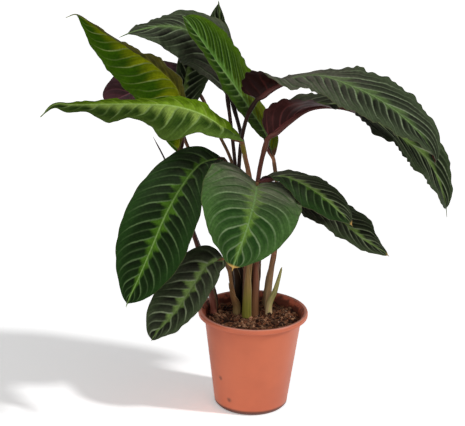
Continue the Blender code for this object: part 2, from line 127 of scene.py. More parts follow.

# Every blade, in millimetres and degrees. The midrib runs from the stalk to the tip, and
# face is the side that the upper surface looks to. left and right hold each half's width
# and how far that half is turned up at five even stations from the stalk to the tip. cup
# bends a half across its width, lobe draws the half back beside the stalk, belly is where
# the blade is widest, and blunt and tip round its two ends. look names the colours of the
# left and the right half, lean is how far their side veins run towards the tip, and
# haze how much painted grey sheen lies on the blade at the stalk and at the tip.
# veins holds the distance of the side veins, how far the bright band beside the midrib
# reaches as a share of the half, and how soft its border is. ripple is the height of the
# edge's waves, frill that of the small ones, and drip the length of the thin tail at the
# tip and how much that tail hangs. Some blades also have crimp, the height of the crimps
# at the foot of the right half, sparse, the share of its side veins that the left half
# keeps, and tone, how light the blade is at the stalk and at the tip.
LEAVES = {
    "lower_left": dict(
        midrib=[(-53, 12, 394), (-81, -8, 393), (-108, -45, 372), (-132, -80, 337),
                (-155, -108, 285), (-173, -118, 242), (-187, -118, 208)],
        face=(-0.3, -0.8, 0.55), left=(55, (52, 32, 8, -4, -16)),
        right=(56, (-8, 44, 28, 22, 16)),
        cup=-8, lobe=0, belly=0.56, blunt=0.44, tip=0.68,
        look=("dark", "dark"), lean=(0.5, 0.55), haze=(0.3, 0),
        veins=(15, 0.34, 0.05),
        ripple=0.9, frill=0.35, drip=(7, 0.3)),
    "bottom_left": dict(
        midrib=[(-47, -45, 254), (-67, -55, 251), (-89, -75, 226), (-113, -90, 191),
                (-151, -100, 143)],
        face=(-0.35, -0.75, 0.6), left=(33, (18, 0, 8, 18, 36)),
        right=(44, (-8, 20, 2, 24, 18)),
        cup=-12, lobe=0, belly=0.56, blunt=0.24, tip=0.56,
        look=("dusk", "dusk"), lean=(0.45, 0.45), haze=(0.3, 0.15),
        veins=(15, 0.36, 0.06),
        ripple=1.3, frill=0.5, drip=(2, 0.3)),
    "front": dict(
        midrib=[(0, -30, 369), (-2, -80, 369), (-8, -125, 356), (-16, -155, 336),
                (-25, -170, 313), (-33, -175, 289)],
        face=(0.2, -0.6, 0.8), left=(70, (10, 2, 18, 2, 0)),
        right=(81, (16, 16, 12, 8, -24)),
        cup=-24, lobe=44, belly=0.44, blunt=0.26, tip=0.68,
        look=("fresh", "fresh"), lean=(0.4, 0.4), haze=(0.85, 0),
        veins=(15, 0.24, 0.06),
        ripple=2.2, frill=1.2, drip=(5, 0.2)),
    "right": dict(
        midrib=[(2, -10, 365), (16, -20, 375), (41, -30, 381), (66, -40, 375),
                (96, -50, 359), (121, -55, 338), (141, -60, 318)],
        face=(0.2, 0, 1), left=(50, (50, 8, 6, 12, 18)),
        right=(38, (62, -8, -28, -20, 0)),
        cup=-12, lobe=0, belly=0.64, blunt=0.68, tip=0.74,
        look=("dusk", "dark"), lean=(1.0, 0.4), haze=(0.6, 0.1),
        veins=(14, 0.26, 0.05),
        ripple=1.4, frill=0.5, drip=(3, 0.2)),
    "low_right": dict(
        midrib=[(36, 30, 320), (62, 30, 319), (95, 25, 315), (130, 20, 298),
                (164, 15, 271), (205, 10, 246)],
        face=(0.3, 0, 1), left=(58, (48, 20, 12, 24, 2)),
        right=(44, (44, -12, -14, -8, -12)),
        cup=-12, lobe=4, belly=0.52, blunt=0.5, tip=0.68,
        look=("dusk", "dusk"), lean=(0.9, 0.5), haze=(0.7, 0.1),
        veins=(14, 0.26, 0.05),
        ripple=1.5, frill=0.6, drip=(3, 0.2)),
    "arch_right": dict(
        midrib=[(-3, 8, 488), (13, 6, 504), (40, 0, 521), (84, -8, 532), (129, -20, 522),
                (172, -30, 505), (213, -40, 478), (244, -45, 446), (261, -45, 414)],
        face=(0.3, -0.2, 1), left=(49, (6, -18, 16, 26, 56)),
        right=(62, (100, 4, -8, -4, 22)),
        cup=-12, lobe=15, belly=0.54, blunt=0.25, tip=0.6,
        look=("slate", "slate"), lean=(2.4, 0.35), haze=(1, 0.1),
        veins=(13, 0.34, 0.06),
        ripple=2, frill=1.2, crimp=4.5, sparse=0.5, drip=(5, 0.2)),
    "arch_right_rear": dict(
        midrib=[(16, 0, 433), (40, 14, 453), (78, 35, 472), (124, 50, 470), (174, 55, 451),
                (221, 60, 421), (263, 55, 387), (283, 50, 348), (294, 45, 313)],
        face=(0.3, -0.1, 1), left=(43, (28, 6, 14, 40, 26)),
        right=(89, (112, 24, 4, 0, 12)),
        cup=-2, lobe=0, belly=0.6, blunt=0.29, tip=0.5,
        look=("dusk", "dusk"), lean=(2, 0.5), haze=(0.7, 0),
        veins=(13, 0.3, 0.06),
        ripple=1.8, frill=1.2, crimp=4.5, sparse=0.5, drip=(15, 0.8)),
    "centre": dict(
        midrib=[(25, 58, 383), (10, 54, 427), (-13, 45, 465), (-39, 34, 506),
                (-70, 24, 549), (-94, 20, 583), (-114, 22, 607)],
        face=(-0.1, -1, 0.4), left=(21, (106, 40, 36, 60, 24)),
        right=(56, (-48, -64, -52, -42, -24)),
        cup=-8, lobe=0, belly=0.54, blunt=0.52, tip=0.56,
        look=("leafy", "bright"), lean=(0.6, 1.1), haze=(0.9, 0),
        veins=(11.5, 0.26, 0.05),
        ripple=1.4, frill=0.4, drip=(3, 0.2)),
    "top": dict(
        midrib=[(-48, 72, 482), (-58, 84, 520), (-82, 82, 557), (-113, 65, 580),
                (-150, 42, 589), (-176, 25, 587), (-197, 12, 582)],
        face=(-0.3, -0.8, 0.6), left=(49, (0, 0, -8, -24, 0)),
        right=(41, (52, 34, -20, -36, -4)),
        cup=-26, lobe=0, belly=0.48, blunt=0.76, tip=0.96,
        look=("slate", "slate"), lean=(1.5, 1.3), haze=(0.6, 0.2),
        veins=(15, 0.2, 0.07),
        ripple=1.6, frill=0.8, sparse=0.7, drip=(13, 0.1)),
    "spike": dict(
        midrib=[(-42, 100, 464), (-44, 108, 500), (-50, 114, 538), (-60, 114, 577),
                (-64, 108, 612)],
        face=(0.1, -1, 0.2), left=(36, (48, 26, 12, 10, 12)),
        right=(12, (48, 20, 10, 12, 16)),
        cup=-10, lobe=0, belly=0.48, blunt=0.6, tip=0.84,
        look=("dusk", "dusk"), lean=(0.8, 0.8), haze=(0, 0),
        veins=(14, 0.2, 0.06),
        ripple=1, frill=0.4, drip=(4, 0)),
    "rear_mid": dict(
        midrib=[(-121, 110, 419), (-117, 120, 459), (-110, 128, 505), (-97, 130, 541),
                (-82, 126, 571)],
        face=(0.2, -1, 0.3), left=(22, (48, 28, 32, 16, 14)),
        right=(37, (28, 12, 10, 12, 16)),
        cup=-8, lobe=0, belly=0.6, blunt=0.68, tip=0.8,
        look=("dusk", "dusk"), lean=(0.8, 0.8), haze=(0, 0),
        veins=(13, 0.2, 0.06),
        ripple=1, frill=0.4, drip=(3, 0.2)),
    "upper_left": dict(
        midrib=[(-119, 30, 396), (-116, 50, 443), (-123, 60, 487), (-150, 60, 517),
                (-189, 55, 547), (-228, 45, 574), (-254, 35, 594), (-275, 30, 606)],
        face=(-0.4, -1, 0.1), left=(68, (20, 16, -8, -8, 6)),
        right=(60, (60, 57, 56, 66, 64)),
        cup=-14, lobe=0, belly=0.44, blunt=0.88, tip=0.96,
        look=("sunlit", "bronze"), lean=(0.45, 0.6), haze=(0, 0),
        veins=(19, 0.4, 0.2),
        ripple=1.6, frill=0.5, drip=(15, 0.8)),
    "mid_left": dict(
        midrib=[(-25, -20, 432), (-52, -30, 454), (-82, -45, 477), (-127, -60, 494),
                (-172, -70, 498), (-222, -75, 498), (-270, -75, 496), (-294, -75, 496),
                (-314, -80, 479)],
        face=(-0.1, -0.3, 1), left=(44, (28, -12, -82, -76, -34)),
        right=(25, (8, 24, -6, 2, 8)),
        cup=-32, lobe=0, belly=0.24, blunt=0.86, tip=1,
        look=("soft", "lime"), lean=(0.4, 0.7), haze=(0, 0), tone=(1.5, 0.62),
        veins=(19, 0.55, 0.16),
        ripple=1.5, frill=0.4, drip=(2, 0.1)),
    "rear_left": dict(
        midrib=[(-98, 150, 468), (-119, 160, 478), (-156, 178, 469), (-198, 195, 449),
                (-241, 208, 423)],
        face=(0, 0.9, 0.6), left=(45, (20, 14, 4, 6, 0)),
        right=(40, (24, 50, 30, 8, 2)),
        cup=-6, lobe=0, belly=0.56, blunt=0.44, tip=0.4,
        look=("dark", "dark"), lean=(0.6, 0.6), haze=(0.2, 0),
        veins=(15, 0.3, 0.05),
        ripple=1.2, frill=0.4, drip=(3, 0.2)),
}

# One blade's left half swings in and out along its length: how much, how many swings
# there are up to the tip, and where they start.
SWAY = {"mid_left": (0.27, 3.24, 0.53)}

# The blades that have the packed model's bright finish. Most of their colours are light yellow greens
# that paint the light shining through these thin blades.
BRIGHT_LEAVES = ("centre", "upper_left", "mid_left")

# The share of its length that has dried at the foot of one blade.
DRY_FEET = {"centre": 0.055}

# How dry the tips of some blades are.
DRY_TIPS = {"front": 0.9, "right": 0.8, "low_right": 0.4}

# The colours of the upper sides, as display values from 0 to 255. panel is the dark patch
# between two side veins, margin the blade beyond it, feather the bright band that runs
# out from the midrib, and haze the grey sheen painted over the pleats.
LOOKS = {
    "dark": dict(panel=(14, 28, 6), margin=(34, 62, 22), feather=(72, 110, 28),
                 vein=(100, 124, 80), rib=(122, 152, 84), haze=(84, 88, 74), under=(80, 44, 50)),
    "dusk": dict(panel=(8, 12, 4), margin=(62, 76, 48), feather=(104, 130, 64),
                 vein=(144, 156, 124), rib=(112, 132, 80), haze=(98, 96, 84), under=(98, 50, 48)),
    "fresh": dict(panel=(30, 58, 20), margin=(70, 102, 50), feather=(96, 128, 52),
                  vein=(122, 142, 104), rib=(114, 144, 88), haze=(124, 124, 106), under=(62, 40, 38)),
    "slate": dict(panel=(14, 20, 10), margin=(68, 82, 56), feather=(80, 104, 56),
                  vein=(136, 150, 120), rib=(110, 136, 84), haze=(108, 104, 94), under=(66, 28, 24)),
    "leafy": dict(panel=(18, 44, 2), margin=(56, 84, 16), feather=(100, 128, 66),
                  vein=(112, 134, 82), rib=(112, 146, 80), haze=(62, 74, 40), under=(60, 44, 30)),
    "bright": dict(panel=(22, 48, 4), margin=(72, 104, 8), feather=(84, 124, 50),
                   vein=(110, 142, 76), rib=(116, 152, 84), haze=(104, 108, 6), under=(70, 66, 20)),
    "soft": dict(panel=(26, 48, 6), margin=(72, 94, 34), feather=(122, 144, 66),
                 vein=(118, 140, 84), rib=(130, 156, 84), haze=(110, 122, 92), under=(80, 74, 40)),
    "lime": dict(panel=(62, 86, 4), margin=(90, 118, 18), feather=(104, 132, 34),
                 vein=(126, 148, 60), rib=(142, 168, 92), haze=(110, 122, 92), under=(80, 74, 30)),
    "sunlit": dict(panel=(42, 76, 0), margin=(58, 90, 0), feather=(140, 150, 12),
                   vein=(142, 158, 92), rib=(150, 156, 60), haze=(90, 96, 50), under=(62, 68, 14)),
    "bronze": dict(panel=(48, 46, 0), margin=(84, 80, 14), feather=(120, 116, 20),
                   vein=(110, 104, 40), rib=(150, 156, 60), haze=(80, 66, 40), under=(62, 58, 14)),
}

# Every stem in millimetres: the place of its foot in the soil, its radius at the foot and
# at the top, and the points that it passes on its way up. tones are the colours of its
# foot, its length and its joint: near black on the stalks that stand behind, as painted
# shade, and lighter at the feet of the front, centre and bottom_left stalks, as painted
# light. sheath is the share of its length that the sheath wraps, and opening the compass
# angle in degrees that the sheath's open side looks to: 0 is towards +X and 90 towards +Y.
# slot is the finish it has in the packed model.
STALKS = {
    "stalk_lower_left": dict(
        foot=(-25, 30.5), radii=(5.6, 3.2), slot="brown", sheath=0.4, opening=70,
        tones=((30, 20, 10), (60, 42, 28), (92, 70, 46)),
        route=[(-26, 27, 199), (-42, 12, 280), (-45, 16, 359), (-47, 15, 386), (-51, 13, 393)]),
    "stalk_bottom_left": dict(
        foot=(-25, 16), radii=(6.6, 3), slot="brown", sheath=0.6, opening=40,
        tones=((146, 124, 82), (140, 104, 70), (112, 84, 60)),
        route=[(-31, 3, 175), (-35, -12, 203), (-39, -31, 232), (-45, -43, 251)]),
    "stalk_front": dict(
        foot=(-10, 2), radii=(7.2, 3.2), slot="olive", sheath=0.55, opening=20,
        tones=((128, 126, 52), (150, 118, 74), (126, 110, 66)),
        route=[(-9, 1, 200), (-2, -3, 275), (1, -12, 335), (1, -26, 365)]),
    "stalk_right": dict(
        foot=(2.5, 7), radii=(5.5, 3), slot="brown", sheath=0.5, opening=60,
        tones=((120, 84, 56), (122, 76, 58), (72, 36, 34)),
        route=[(3, 8, 200), (5, 10, 264), (0, 2, 333), (0, -7, 361)]),
    "stalk_low_right": dict(
        foot=(3.5, 20.5), radii=(5.8, 3.2), slot="brown", sheath=0.5, opening=120,
        tones=((76, 46, 30), (84, 52, 40), (72, 44, 34)),
        route=[(5, 21, 196), (13, 24, 262), (23, 26, 297), (33, 29, 315)]),
    "stalk_arch_right": dict(
        foot=(-9, 46), radii=(5.8, 3.2), slot="dark", sheath=0.4, opening=0,
        tones=((30, 18, 10), (44, 26, 20), (36, 16, 13)),
        route=[(-9, 45, 200), (-12, 41, 236), (-19, 31, 276), (-27, 22, 385), (-23, 16, 432),
               (-14, 11, 468), (-5, 9, 485)]),
    "stalk_arch_right_rear": dict(
        foot=(2, 34.5), radii=(6, 3.6), slot="brown", sheath=0.4, opening=30,
        tones=((70, 44, 30), (96, 56, 46), (104, 66, 52)),
        route=[(2, 33, 190), (-3, 24, 277), (2, 12, 362), (7, 3, 399), (14, 1, 429)]),
    "stalk_centre": dict(
        foot=(22, 50), radii=(6.4, 2.8), slot="brown", sheath=0.45, opening=215,
        tones=((206, 172, 128), (172, 120, 88), (104, 76, 54)),
        route=[(24, 52, 176), (34, 60, 265), (32, 59, 340), (26, 58, 380)]),
    "stalk_top": dict(
        foot=(-12, 32), radii=(5.8, 3), slot="dark", sheath=0.4, opening=0,
        tones=((36, 22, 12), (52, 32, 24), (34, 20, 16)),
        route=[(-17, 34, 200), (-25, 36, 240), (-33, 46, 374), (-41, 62, 433), (-48, 71, 479)]),
    "stalk_spike": dict(
        foot=(4, 48.5), radii=(5, 3), slot="dark", sheath=0.4, opening=270,
        tones=((28, 17, 10), (40, 24, 18), (34, 20, 16)),
        route=[(1, 52, 190), (-9, 62, 263), (-15, 75, 366), (-27, 88, 418), (-40, 99, 460)]),
    "stalk_rear_mid": dict(
        foot=(-24, 45), radii=(5, 2.8), slot="brown", sheath=0.4, opening=330,
        tones=((44, 28, 18), (108, 76, 56), (70, 48, 42)),
        route=[(-30, 49, 190), (-51, 62, 262), (-81, 80, 338), (-109, 99, 389),
               (-121, 109, 415)]),
    "stalk_upper_left": dict(
        foot=(-61.5, 22), radii=(5.2, 3.4), slot="dark", sheath=0.4, opening=0,
        tones=((80, 54, 42), (96, 58, 48), (86, 52, 46)),
        route=[(-65, 19, 175), (-84, 5, 243), (-95, -2, 281), (-110, 8, 344), (-117, 24, 387),
               (-119, 29, 394)]),
    "stalk_mid_left": dict(
        foot=(-10.5, 17), radii=(6.5, 3.2), slot="olive", sheath=0.93, opening=60,
        tones=((84, 60, 38), (146, 102, 74), (136, 128, 44)),
        route=[(-11, 15, 200), (-11, 4, 285), (-10, -5, 367), (-20, -12, 411), (-24, -19, 430)]),
    "stalk_rear_left": dict(
        foot=(-14, 59), radii=(5, 2.6), slot="brown", sheath=0.4, opening=300,
        tones=((36, 22, 16), (112, 84, 58), (74, 50, 44)),
        route=[(-17, 61, 190), (-28, 66, 286), (-38, 88, 364), (-65, 118, 412), (-86, 142, 451),
               (-96, 149, 465)]),
}

SHOOTS = {
    "rolled_leaf": dict(
        foot=(-57, 34), radii=(2.8, 0.8),
        route=[(-66, 31, 190), (-93, 27, 268), (-120, 34, 338), (-140, 34, 383),
               (-159, 32, 421)]),
    "young_shoot": dict(
        foot=(25, 23), radii=(5.6, 1.2),
        route=[(34, 22, 180), (43, 20, 219)]),
    "old_sheath": dict(
        foot=(-61.5, 11), radii=(4.2, 3),
        route=[(-63, 10, 160), (-67, 8, 182)]),
}


def tint(red, green, blue):
    """Turn a colour's display values from 0 to 255 into linear light."""
    def linear(value):
        share = value / 255
        return share / 12.92 if share <= 0.04045 else ((share + 0.055) / 1.055) ** 2.4
    return linear(red), linear(green), linear(blue)


def colour_property(name, description, colour):
    """Make the property for one colour, given by its display values."""
    return FloatVectorProperty(
        name=name, description=description, default=tint(*colour),
        min=0, max=1, size=3, subtype="COLOR")


def length_property(name, description, millimetres):
    """Make the property for one length, given in millimetres."""
    return FloatProperty(
        name=name, description=description, default=millimetres * MM,
        min=0, precision=4, subtype="DISTANCE", unit="LENGTH")


def share_property(name, description, default):
    """Make the property for a share from 0 to 1."""
    return FloatProperty(
        name=name, description=description, default=default, min=0, max=1, subtype="FACTOR")


# ---------------------------------------------------------------- settings


class StageSettings(bpy.types.PropertyGroup):
    """Floor, light and camera."""

    floor_reach: length_property("Floor reach", "Half the side of the square floor", 6000)
    floor_shadow: share_property(
        "Floor shadow", "Brightness of the floor where the lamp doesn't reach", 0.67)
    world_low: share_property("World low", "Soft light from behind", 0.15)
    world_high: FloatProperty(
        name="World high", description="Soft light added from the front", default=1.75, min=0)
    world_front: FloatVectorProperty(
        name="World front", description="Where the soft light is brightest",
        default=(-0.24, -0.78, 0.58), size=3, subtype="DIRECTION")
    sun_strength: FloatProperty(
        name="Sun strength", description="Strength of the one lamp", default=1.2, min=0)
    sun_height: FloatProperty(
        name="Sun height", description="Angle of the lamp above the floor",
        default=math.radians(36), subtype="ANGLE", unit="ROTATION")
    sun_heading: FloatProperty(
        name="Sun heading", description="Compass angle of the lamp, 0 towards +X",
        default=math.radians(-15), subtype="ANGLE", unit="ROTATION")
    sun_softness: FloatProperty(
        name="Sun softness", description="Width of the lamp as the floor sees it",
        default=math.radians(4), subtype="ANGLE", unit="ROTATION")
    lens: FloatProperty(
        name="Lens", description="Focal length on a 36 mm sensor, in millimetres",
        default=124.65, min=1)


class PotSettings(bpy.types.PropertyGroup):
    """The turned plastic pot."""

    base_radius: length_property("Base radius", "Outer radius at the floor", 56.5)
    neck_radius: length_property("Neck radius", "Outer radius just under the lip", 75.2)
    neck_height: length_property("Neck height", "Height of the straight side", 143)
    wall: length_property("Wall", "Thickness of the side", 1.8)
    floor: length_property("Floor", "Thickness of the base", 2.5)
    drain_circle: length_property("Drain circle", "Radius of the ring of drain holes", 36)
    drain_radius: length_property("Drain radius", "Radius of one drain hole", 4)
    plastic: colour_property("Plastic", "Colour of the pot", (211, 112, 77))
    # This colour serves the pot's stains and scuffs, and also the painted shade on its inner walls.
    shade: colour_property("Shade", "Colour of the pot where it is stained", (172, 86, 64))
    # This colour serves the soil marks and the soil-stained band inside, and also the painted shade
    # along the pot's lower edge.
    grime_and_shade: colour_property("Grime", "Colour of soil marks and of the lower edge", (62, 38, 32))


class SoilSettings(bpy.types.PropertyGroup):
    """Soil with its crumbs, fibres and grains."""

    crumbs: IntProperty(name="Crumbs", description="Number of loose crumbs", default=1300, min=0)
    fibres: IntProperty(name="Fibres", description="Number of coir fibres", default=420, min=0)
    grains: IntProperty(name="Grains", description="Number of pale grains", default=9, min=0)
    relief: length_property("Relief", "Height of the soil's own lumps", 4.2)
    seed: IntProperty(name="Seed", description="Start of the random placing", default=7)
    dark: colour_property("Dark", "Colour of damp soil", (42, 18, 8))
    brown: colour_property("Brown", "Colour of most crumbs", (150, 90, 58))
    pale: colour_property("Pale", "Colour of dry chips and fibres", (196, 148, 112))
    grain: colour_property("Grain", "Colour of the pale grains", (232, 214, 196))


class BladeSettings(bpy.types.PropertyGroup):
    """The leaf blades."""

    thickness: length_property("Thickness", "Thickness of a blade", 0.5)
    rib_depth: length_property("Rib depth", "Height of the midrib under the blade", 1.4)
    quilt: length_property("Quilt", "Height of the swell between two side veins", 1.5)
    groove: length_property("Groove", "Depth of the groove over the midrib", 0.7)
    scallop: length_property("Scallop", "Swell of the edge between two side veins", 1.5)
    vein_width: length_property("Vein width", "Width of a side vein", 1.9)
    rib_width: length_property("Rib width", "Width of the pale midrib at the stalk", 3.8)
    dry_tip: colour_property("Dry tip", "Colour of a tip that has dried", (214, 168, 96))
    dry_foot: colour_property("Dry foot", "Colour of a blade's foot that has dried", (96, 68, 50))
    rim: colour_property("Rim", "Colour of a blade's thin edge", (84, 84, 52))


def look_settings(name, colours):
    """Make the settings class that holds the colours of one look."""
    notes = {
        part: colour_property(part.capitalize(), f"Colour of the {part} of a {name} blade", colour)
        for part, colour in colours.items()}
    parts = {"__doc__": f"Colours of a {name} blade.", "__annotations__": notes}
    return type(name.capitalize() + "LookSettings", (bpy.types.PropertyGroup,), parts)


LOOK_CLASSES = {name: look_settings(name, colours) for name, colours in LOOKS.items()}


class LooksSettings(bpy.types.PropertyGroup):
    """The looks of the blades' upper and lower sides."""

    __annotations__ = {name: PointerProperty(type=kind) for name, kind in LOOK_CLASSES.items()}


class StalkSettings(bpy.types.PropertyGroup):
    """Stalks, sheaths and shoots."""

    sheath_wall: length_property("Sheath wall", "Thickness of a sheath", 0.7)
    sheath_gap: length_property("Sheath gap", "Gap between a stalk and its sheath", 0.25)
    joint_length: length_property("Joint length", "Length of the swollen joint at the blade", 24)
    joint_swell: share_property("Joint swell", "How much thicker the joint is", 0.18)
    edge: colour_property("Edge", "Colour of a sheath's dry edge", (196, 172, 132))
    edge_share: share_property("Edge share", "How much of its edge colour a sheath takes", 0.5)
    # The young shoot's colours are lighter than its own, as painted light where the leaves over it
    # shade it.
    shoot: colour_property("Shoot", "Colour of a young shoot", (190, 184, 112))
    shoot_foot: colour_property("Shoot foot", "Colour of a young shoot's foot", (214, 184, 138))
    rolled: colour_property("Rolled", "Colour of a rolled leaf", (84, 76, 72))
    rolled_foot: colour_property("Rolled foot", "Colour of a rolled leaf's foot", (84, 58, 46))
    stump: colour_property("Stump", "Colour of an old sheath", (142, 84, 68))
    rib_below: colour_property("Rib below", "Colour of the midrib under a blade", (92, 54, 50))


class CalatheaSettings(bpy.types.PropertyGroup):
    """All settings of the plant and its stage."""

    stage: PointerProperty(type=StageSettings)
    pot: PointerProperty(type=PotSettings)
    soil: PointerProperty(type=SoilSettings)
    blades: PointerProperty(type=BladeSettings)
    looks: PointerProperty(type=LooksSettings)
    stalks: PointerProperty(type=StalkSettings)


# ---------------------------------------------------------------- meshes


class Shape:
    """Points, faces and point values gathered for one mesh."""

    def __init__(self):
        self.points = []
        self.faces = []
        self.slots = []
        self.values = {}
        self.count = 0

    def add_points(self, points, **values):
        """Add places with their values, and return the number of the first one."""
        points = np.asarray(points, dtype=float).reshape(-1, 3)
        first = self.count
        self.points.append(points)
        self.count += len(points)
        for name, value in values.items():
            value = np.asarray(value, dtype=float).reshape(-1)
            self.values.setdefault(name, []).append((first, value))
        return first

    def add_face(self, corners, slot=0):
        """Add one face from its point numbers."""
        self.faces.append(tuple(int(corner) for corner in corners))
        self.slots.append(slot)

    def add_grid(self, grid, slot=0, wrap=False, flip=False, **values):
        """Add a net of places in rows and columns, and return its point numbers."""
        rows, columns = grid.shape[:2]
        first = self.add_points(grid, **values)
        numbers = first + np.arange(rows * columns).reshape(rows, columns)
        ring = np.hstack([numbers, numbers[:, :1]]) if wrap else numbers
        corners = [ring[:-1, :-1], ring[:-1, 1:], ring[1:, 1:], ring[1:, :-1]]
        if flip:
            corners.reverse()
        quads = np.stack(corners, axis=-1).reshape(-1, 4)
        self.faces.extend(map(tuple, quads.tolist()))
        self.slots.extend([slot] * len(quads))
        return numbers

    def join(self, one, other, slot=0):
        """Fill the strip between two rows of point numbers."""
        for i in range(len(one) - 1):
            self.add_face((one[i], one[i + 1], other[i + 1], other[i]), slot)

    def add_shell(self, upper, lower, slots=(0, 1, 2), **values):
        """Add a thin closed sheet from the nets of its two sides."""
        top = self.add_grid(upper, slots[0], **values)
        bottom = self.add_grid(lower, slots[1], flip=True, **values)
        self.join(bottom[0], top[0], slots[2])
        self.join(top[-1], bottom[-1], slots[2])
        self.join(top[:, 0], bottom[:, 0], slots[2])
        self.join(bottom[:, -1], top[:, -1], slots[2])

    def add_tube(self, rings, slot=0, **values):
        """Add a closed tube from the net of its rings."""
        numbers = self.add_grid(rings, slot, wrap=True, **values)
        self.add_face(numbers[0][::-1], slot)
        self.add_face(numbers[-1], slot)

    def finish(self, name, materials, sharp_angle=50):
        """Make the object, with one material for each slot."""
        mesh = bpy.data.meshes.new(name)
        mesh.from_pydata(np.vstack(self.points).tolist(), [], self.faces)
        mesh.polygons.foreach_set("material_index", self.slots)
        for key, parts in self.values.items():
            column = np.zeros(self.count, dtype=np.float32)
            for first, part in parts:
                column[first:first + len(part)] = part
            mesh.attributes.new(key, "FLOAT", "POINT").data.foreach_set("value", column)
        for material in materials:
            mesh.materials.append(material)
        mesh.shade_smooth()
        mesh.set_sharp_from_angle(angle=math.radians(sharp_angle))
        mesh.validate()
        piece = bpy.data.objects.new(name, mesh)
        bpy.context.scene.collection.objects.link(piece)
        return piece


def settle(piece, slot, *nodes):
    """Let a piece ride on the plant's body and stand for its solids."""
    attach(piece, BODY)
    if nodes:
        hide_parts(*nodes)


def unit(vectors):
    """Scale each row to length one."""
    return vectors / np.linalg.norm(vectors, axis=-1, keepdims=True)


def smooth_route(points, samples):
    """Read points at even distances along a smooth curve through the given ones."""
    points = np.array(points, dtype=float)
    legs = np.diff(points, axis=0)
    spans = np.linalg.norm(legs, axis=1)
    headings = legs / spans[:, None]
    before = spans[:-1, None]
    after = spans[1:, None]
    bends = (headings[:-1] * after + headings[1:] * before) / (before + after)
    tangents = np.vstack([headings[:1], bends, headings[-1:]])
    fine = []
    for i, span in enumerate(spans):
        for t in np.arange(CURVE_SAMPLES) / CURVE_SAMPLES:
            start = (2 * t**3 - 3 * t**2 + 1) * points[i]
            start += (t**3 - 2 * t**2 + t) * span * tangents[i]
            end = (3 * t**2 - 2 * t**3) * points[i + 1]
            end += (t**3 - t**2) * span * tangents[i + 1]
            fine.append(start + end)
    fine.append(points[-1])
    fine = np.array(fine)
    distance = np.append(0, np.cumsum(np.linalg.norm(np.diff(fine, axis=0), axis=1)))
    even = np.linspace(0, distance[-1], samples)
    return np.stack([np.interp(even, distance, fine[:, axis]) for axis in range(3)], axis=1)


def eased(values, along):
    """Read a row of even station values at shares of the length, easing between them."""
    values = np.array(values, dtype=float)
    place = np.clip(along, 0, 1) * (len(values) - 1)
    station = np.minimum(place.astype(int), len(values) - 2)
    share = smooth_step(place - station, 0, 1)
    return values[station] * (1 - share) + values[station + 1] * share


def smooth_step(value, low, high):
    """Rise smoothly from 0 at low to 1 at high."""
    share = np.clip((value - low) / (high - low), 0, 1)
    return share * share * (3 - 2 * share)


def route_length(route):
    """Length of a line of points."""
    return float(np.linalg.norm(np.diff(route, axis=0), axis=1).sum())


def compass(degrees):
    """Level direction at a compass angle, 0 towards +X and 90 towards +Y."""
    angle = math.radians(degrees)
    return np.array([math.cos(angle), math.sin(angle), 0])


def carried_frame(route, start_side):
    """Two cross directions carried along a line without twisting."""
    headings = unit(np.gradient(route, axis=0))
    sides = np.empty_like(headings)
    side = np.array(start_side, dtype=float)
    for i, heading in enumerate(headings):
        side = side - heading * (heading @ side)
        side = side / np.linalg.norm(side)
        sides[i] = side
    return sides, np.cross(headings, sides)


# ---------------------------------------------------------------- materials


class Paint:
    """A material with short ways to build its nodes."""

    def __init__(self, name, **sockets):
        self.material = bpy.data.materials.new(name)
        self.material.use_nodes = True
        self.tree = self.material.node_tree
        self.shader = self.tree.nodes["Principled BSDF"]
        for socket, value in sockets.items():
            self.shader.inputs[socket.replace("_", " ")].default_value = value

    def feed(self, socket, value):
        """Link another node's output to a socket, or set the socket's own value."""
        if isinstance(value, bpy.types.NodeSocket):
            self.tree.links.new(value, socket)
        elif socket.type == "RGBA" and len(value) == 3:
            socket.default_value = (*value, 1)
        else:
            socket.default_value = value

    def node(self, kind, output=0, inputs=None, **settings):
        """Add a node and return one of its outputs."""
        node = self.tree.nodes.new("ShaderNode" + kind)
        for key, value in settings.items():
            setattr(node, key, value)
        for key, value in (inputs or {}).items():
            self.feed(node.inputs[key], value)
        return node.outputs[output]

    def attribute(self, name):
        """Read one of the mesh's own point values."""
        return self.node("Attribute", "Fac", attribute_name=name)

    def place(self):
        """Read the place on the object, in metres."""
        return self.node("TexCoord", "Object")

    def maths(self, operation, *values):
        """Work out one number from others."""
        return self.node("Math", inputs=dict(enumerate(values)), operation=operation)

    def times(self, one, other):
        """Multiply two numbers."""
        return self.maths("MULTIPLY", one, other)

    def step(self, value, low, high):
        """Rise smoothly from 0 at low to 1 at high, or fall if high is the smaller."""
        inputs = {"Value": value, "From Min": low, "From Max": high}
        return self.node("MapRange", inputs=inputs, interpolation_type="SMOOTHSTEP")

    def vector(self, x, y, z=0):
        """Put three numbers together as a place for a texture."""
        return self.node("CombineXYZ", inputs={0: x, 1: y, 2: z})

    def noise(self, place, scale, detail=3, roughness=0.5):
        """Soft random values from 0 to 1."""
        inputs = {"Vector": place, "Scale": scale, "Detail": detail, "Roughness": roughness}
        return self.node("TexNoise", "Fac", inputs)

    def mix(self, share, one, other, blend="MIX"):
        """Mix two colours by a share."""
        node = self.tree.nodes.new("ShaderNodeMix")
        node.data_type = "RGBA"
        node.blend_type = blend
        self.feed(node.inputs[0], share)
        self.feed(node.inputs[6], one)
        self.feed(node.inputs[7], other)
        return node.outputs[2]

    def bump(self, height, distance, strength=1):
        """Raise the surface by a height from 0 to 1."""
        inputs = {"Height": height, "Distance": distance, "Strength": strength}
        self.tree.links.new(self.node("Bump", inputs=inputs), self.shader.inputs["Normal"])

    def done(self, colour, roughness=None):
        """Set the shader's colour, and its roughness where it changes."""
        self.feed(self.shader.inputs["Base Color"], colour)
        if roughness is not None:
            self.feed(self.shader.inputs["Roughness"], roughness)
        return self.material


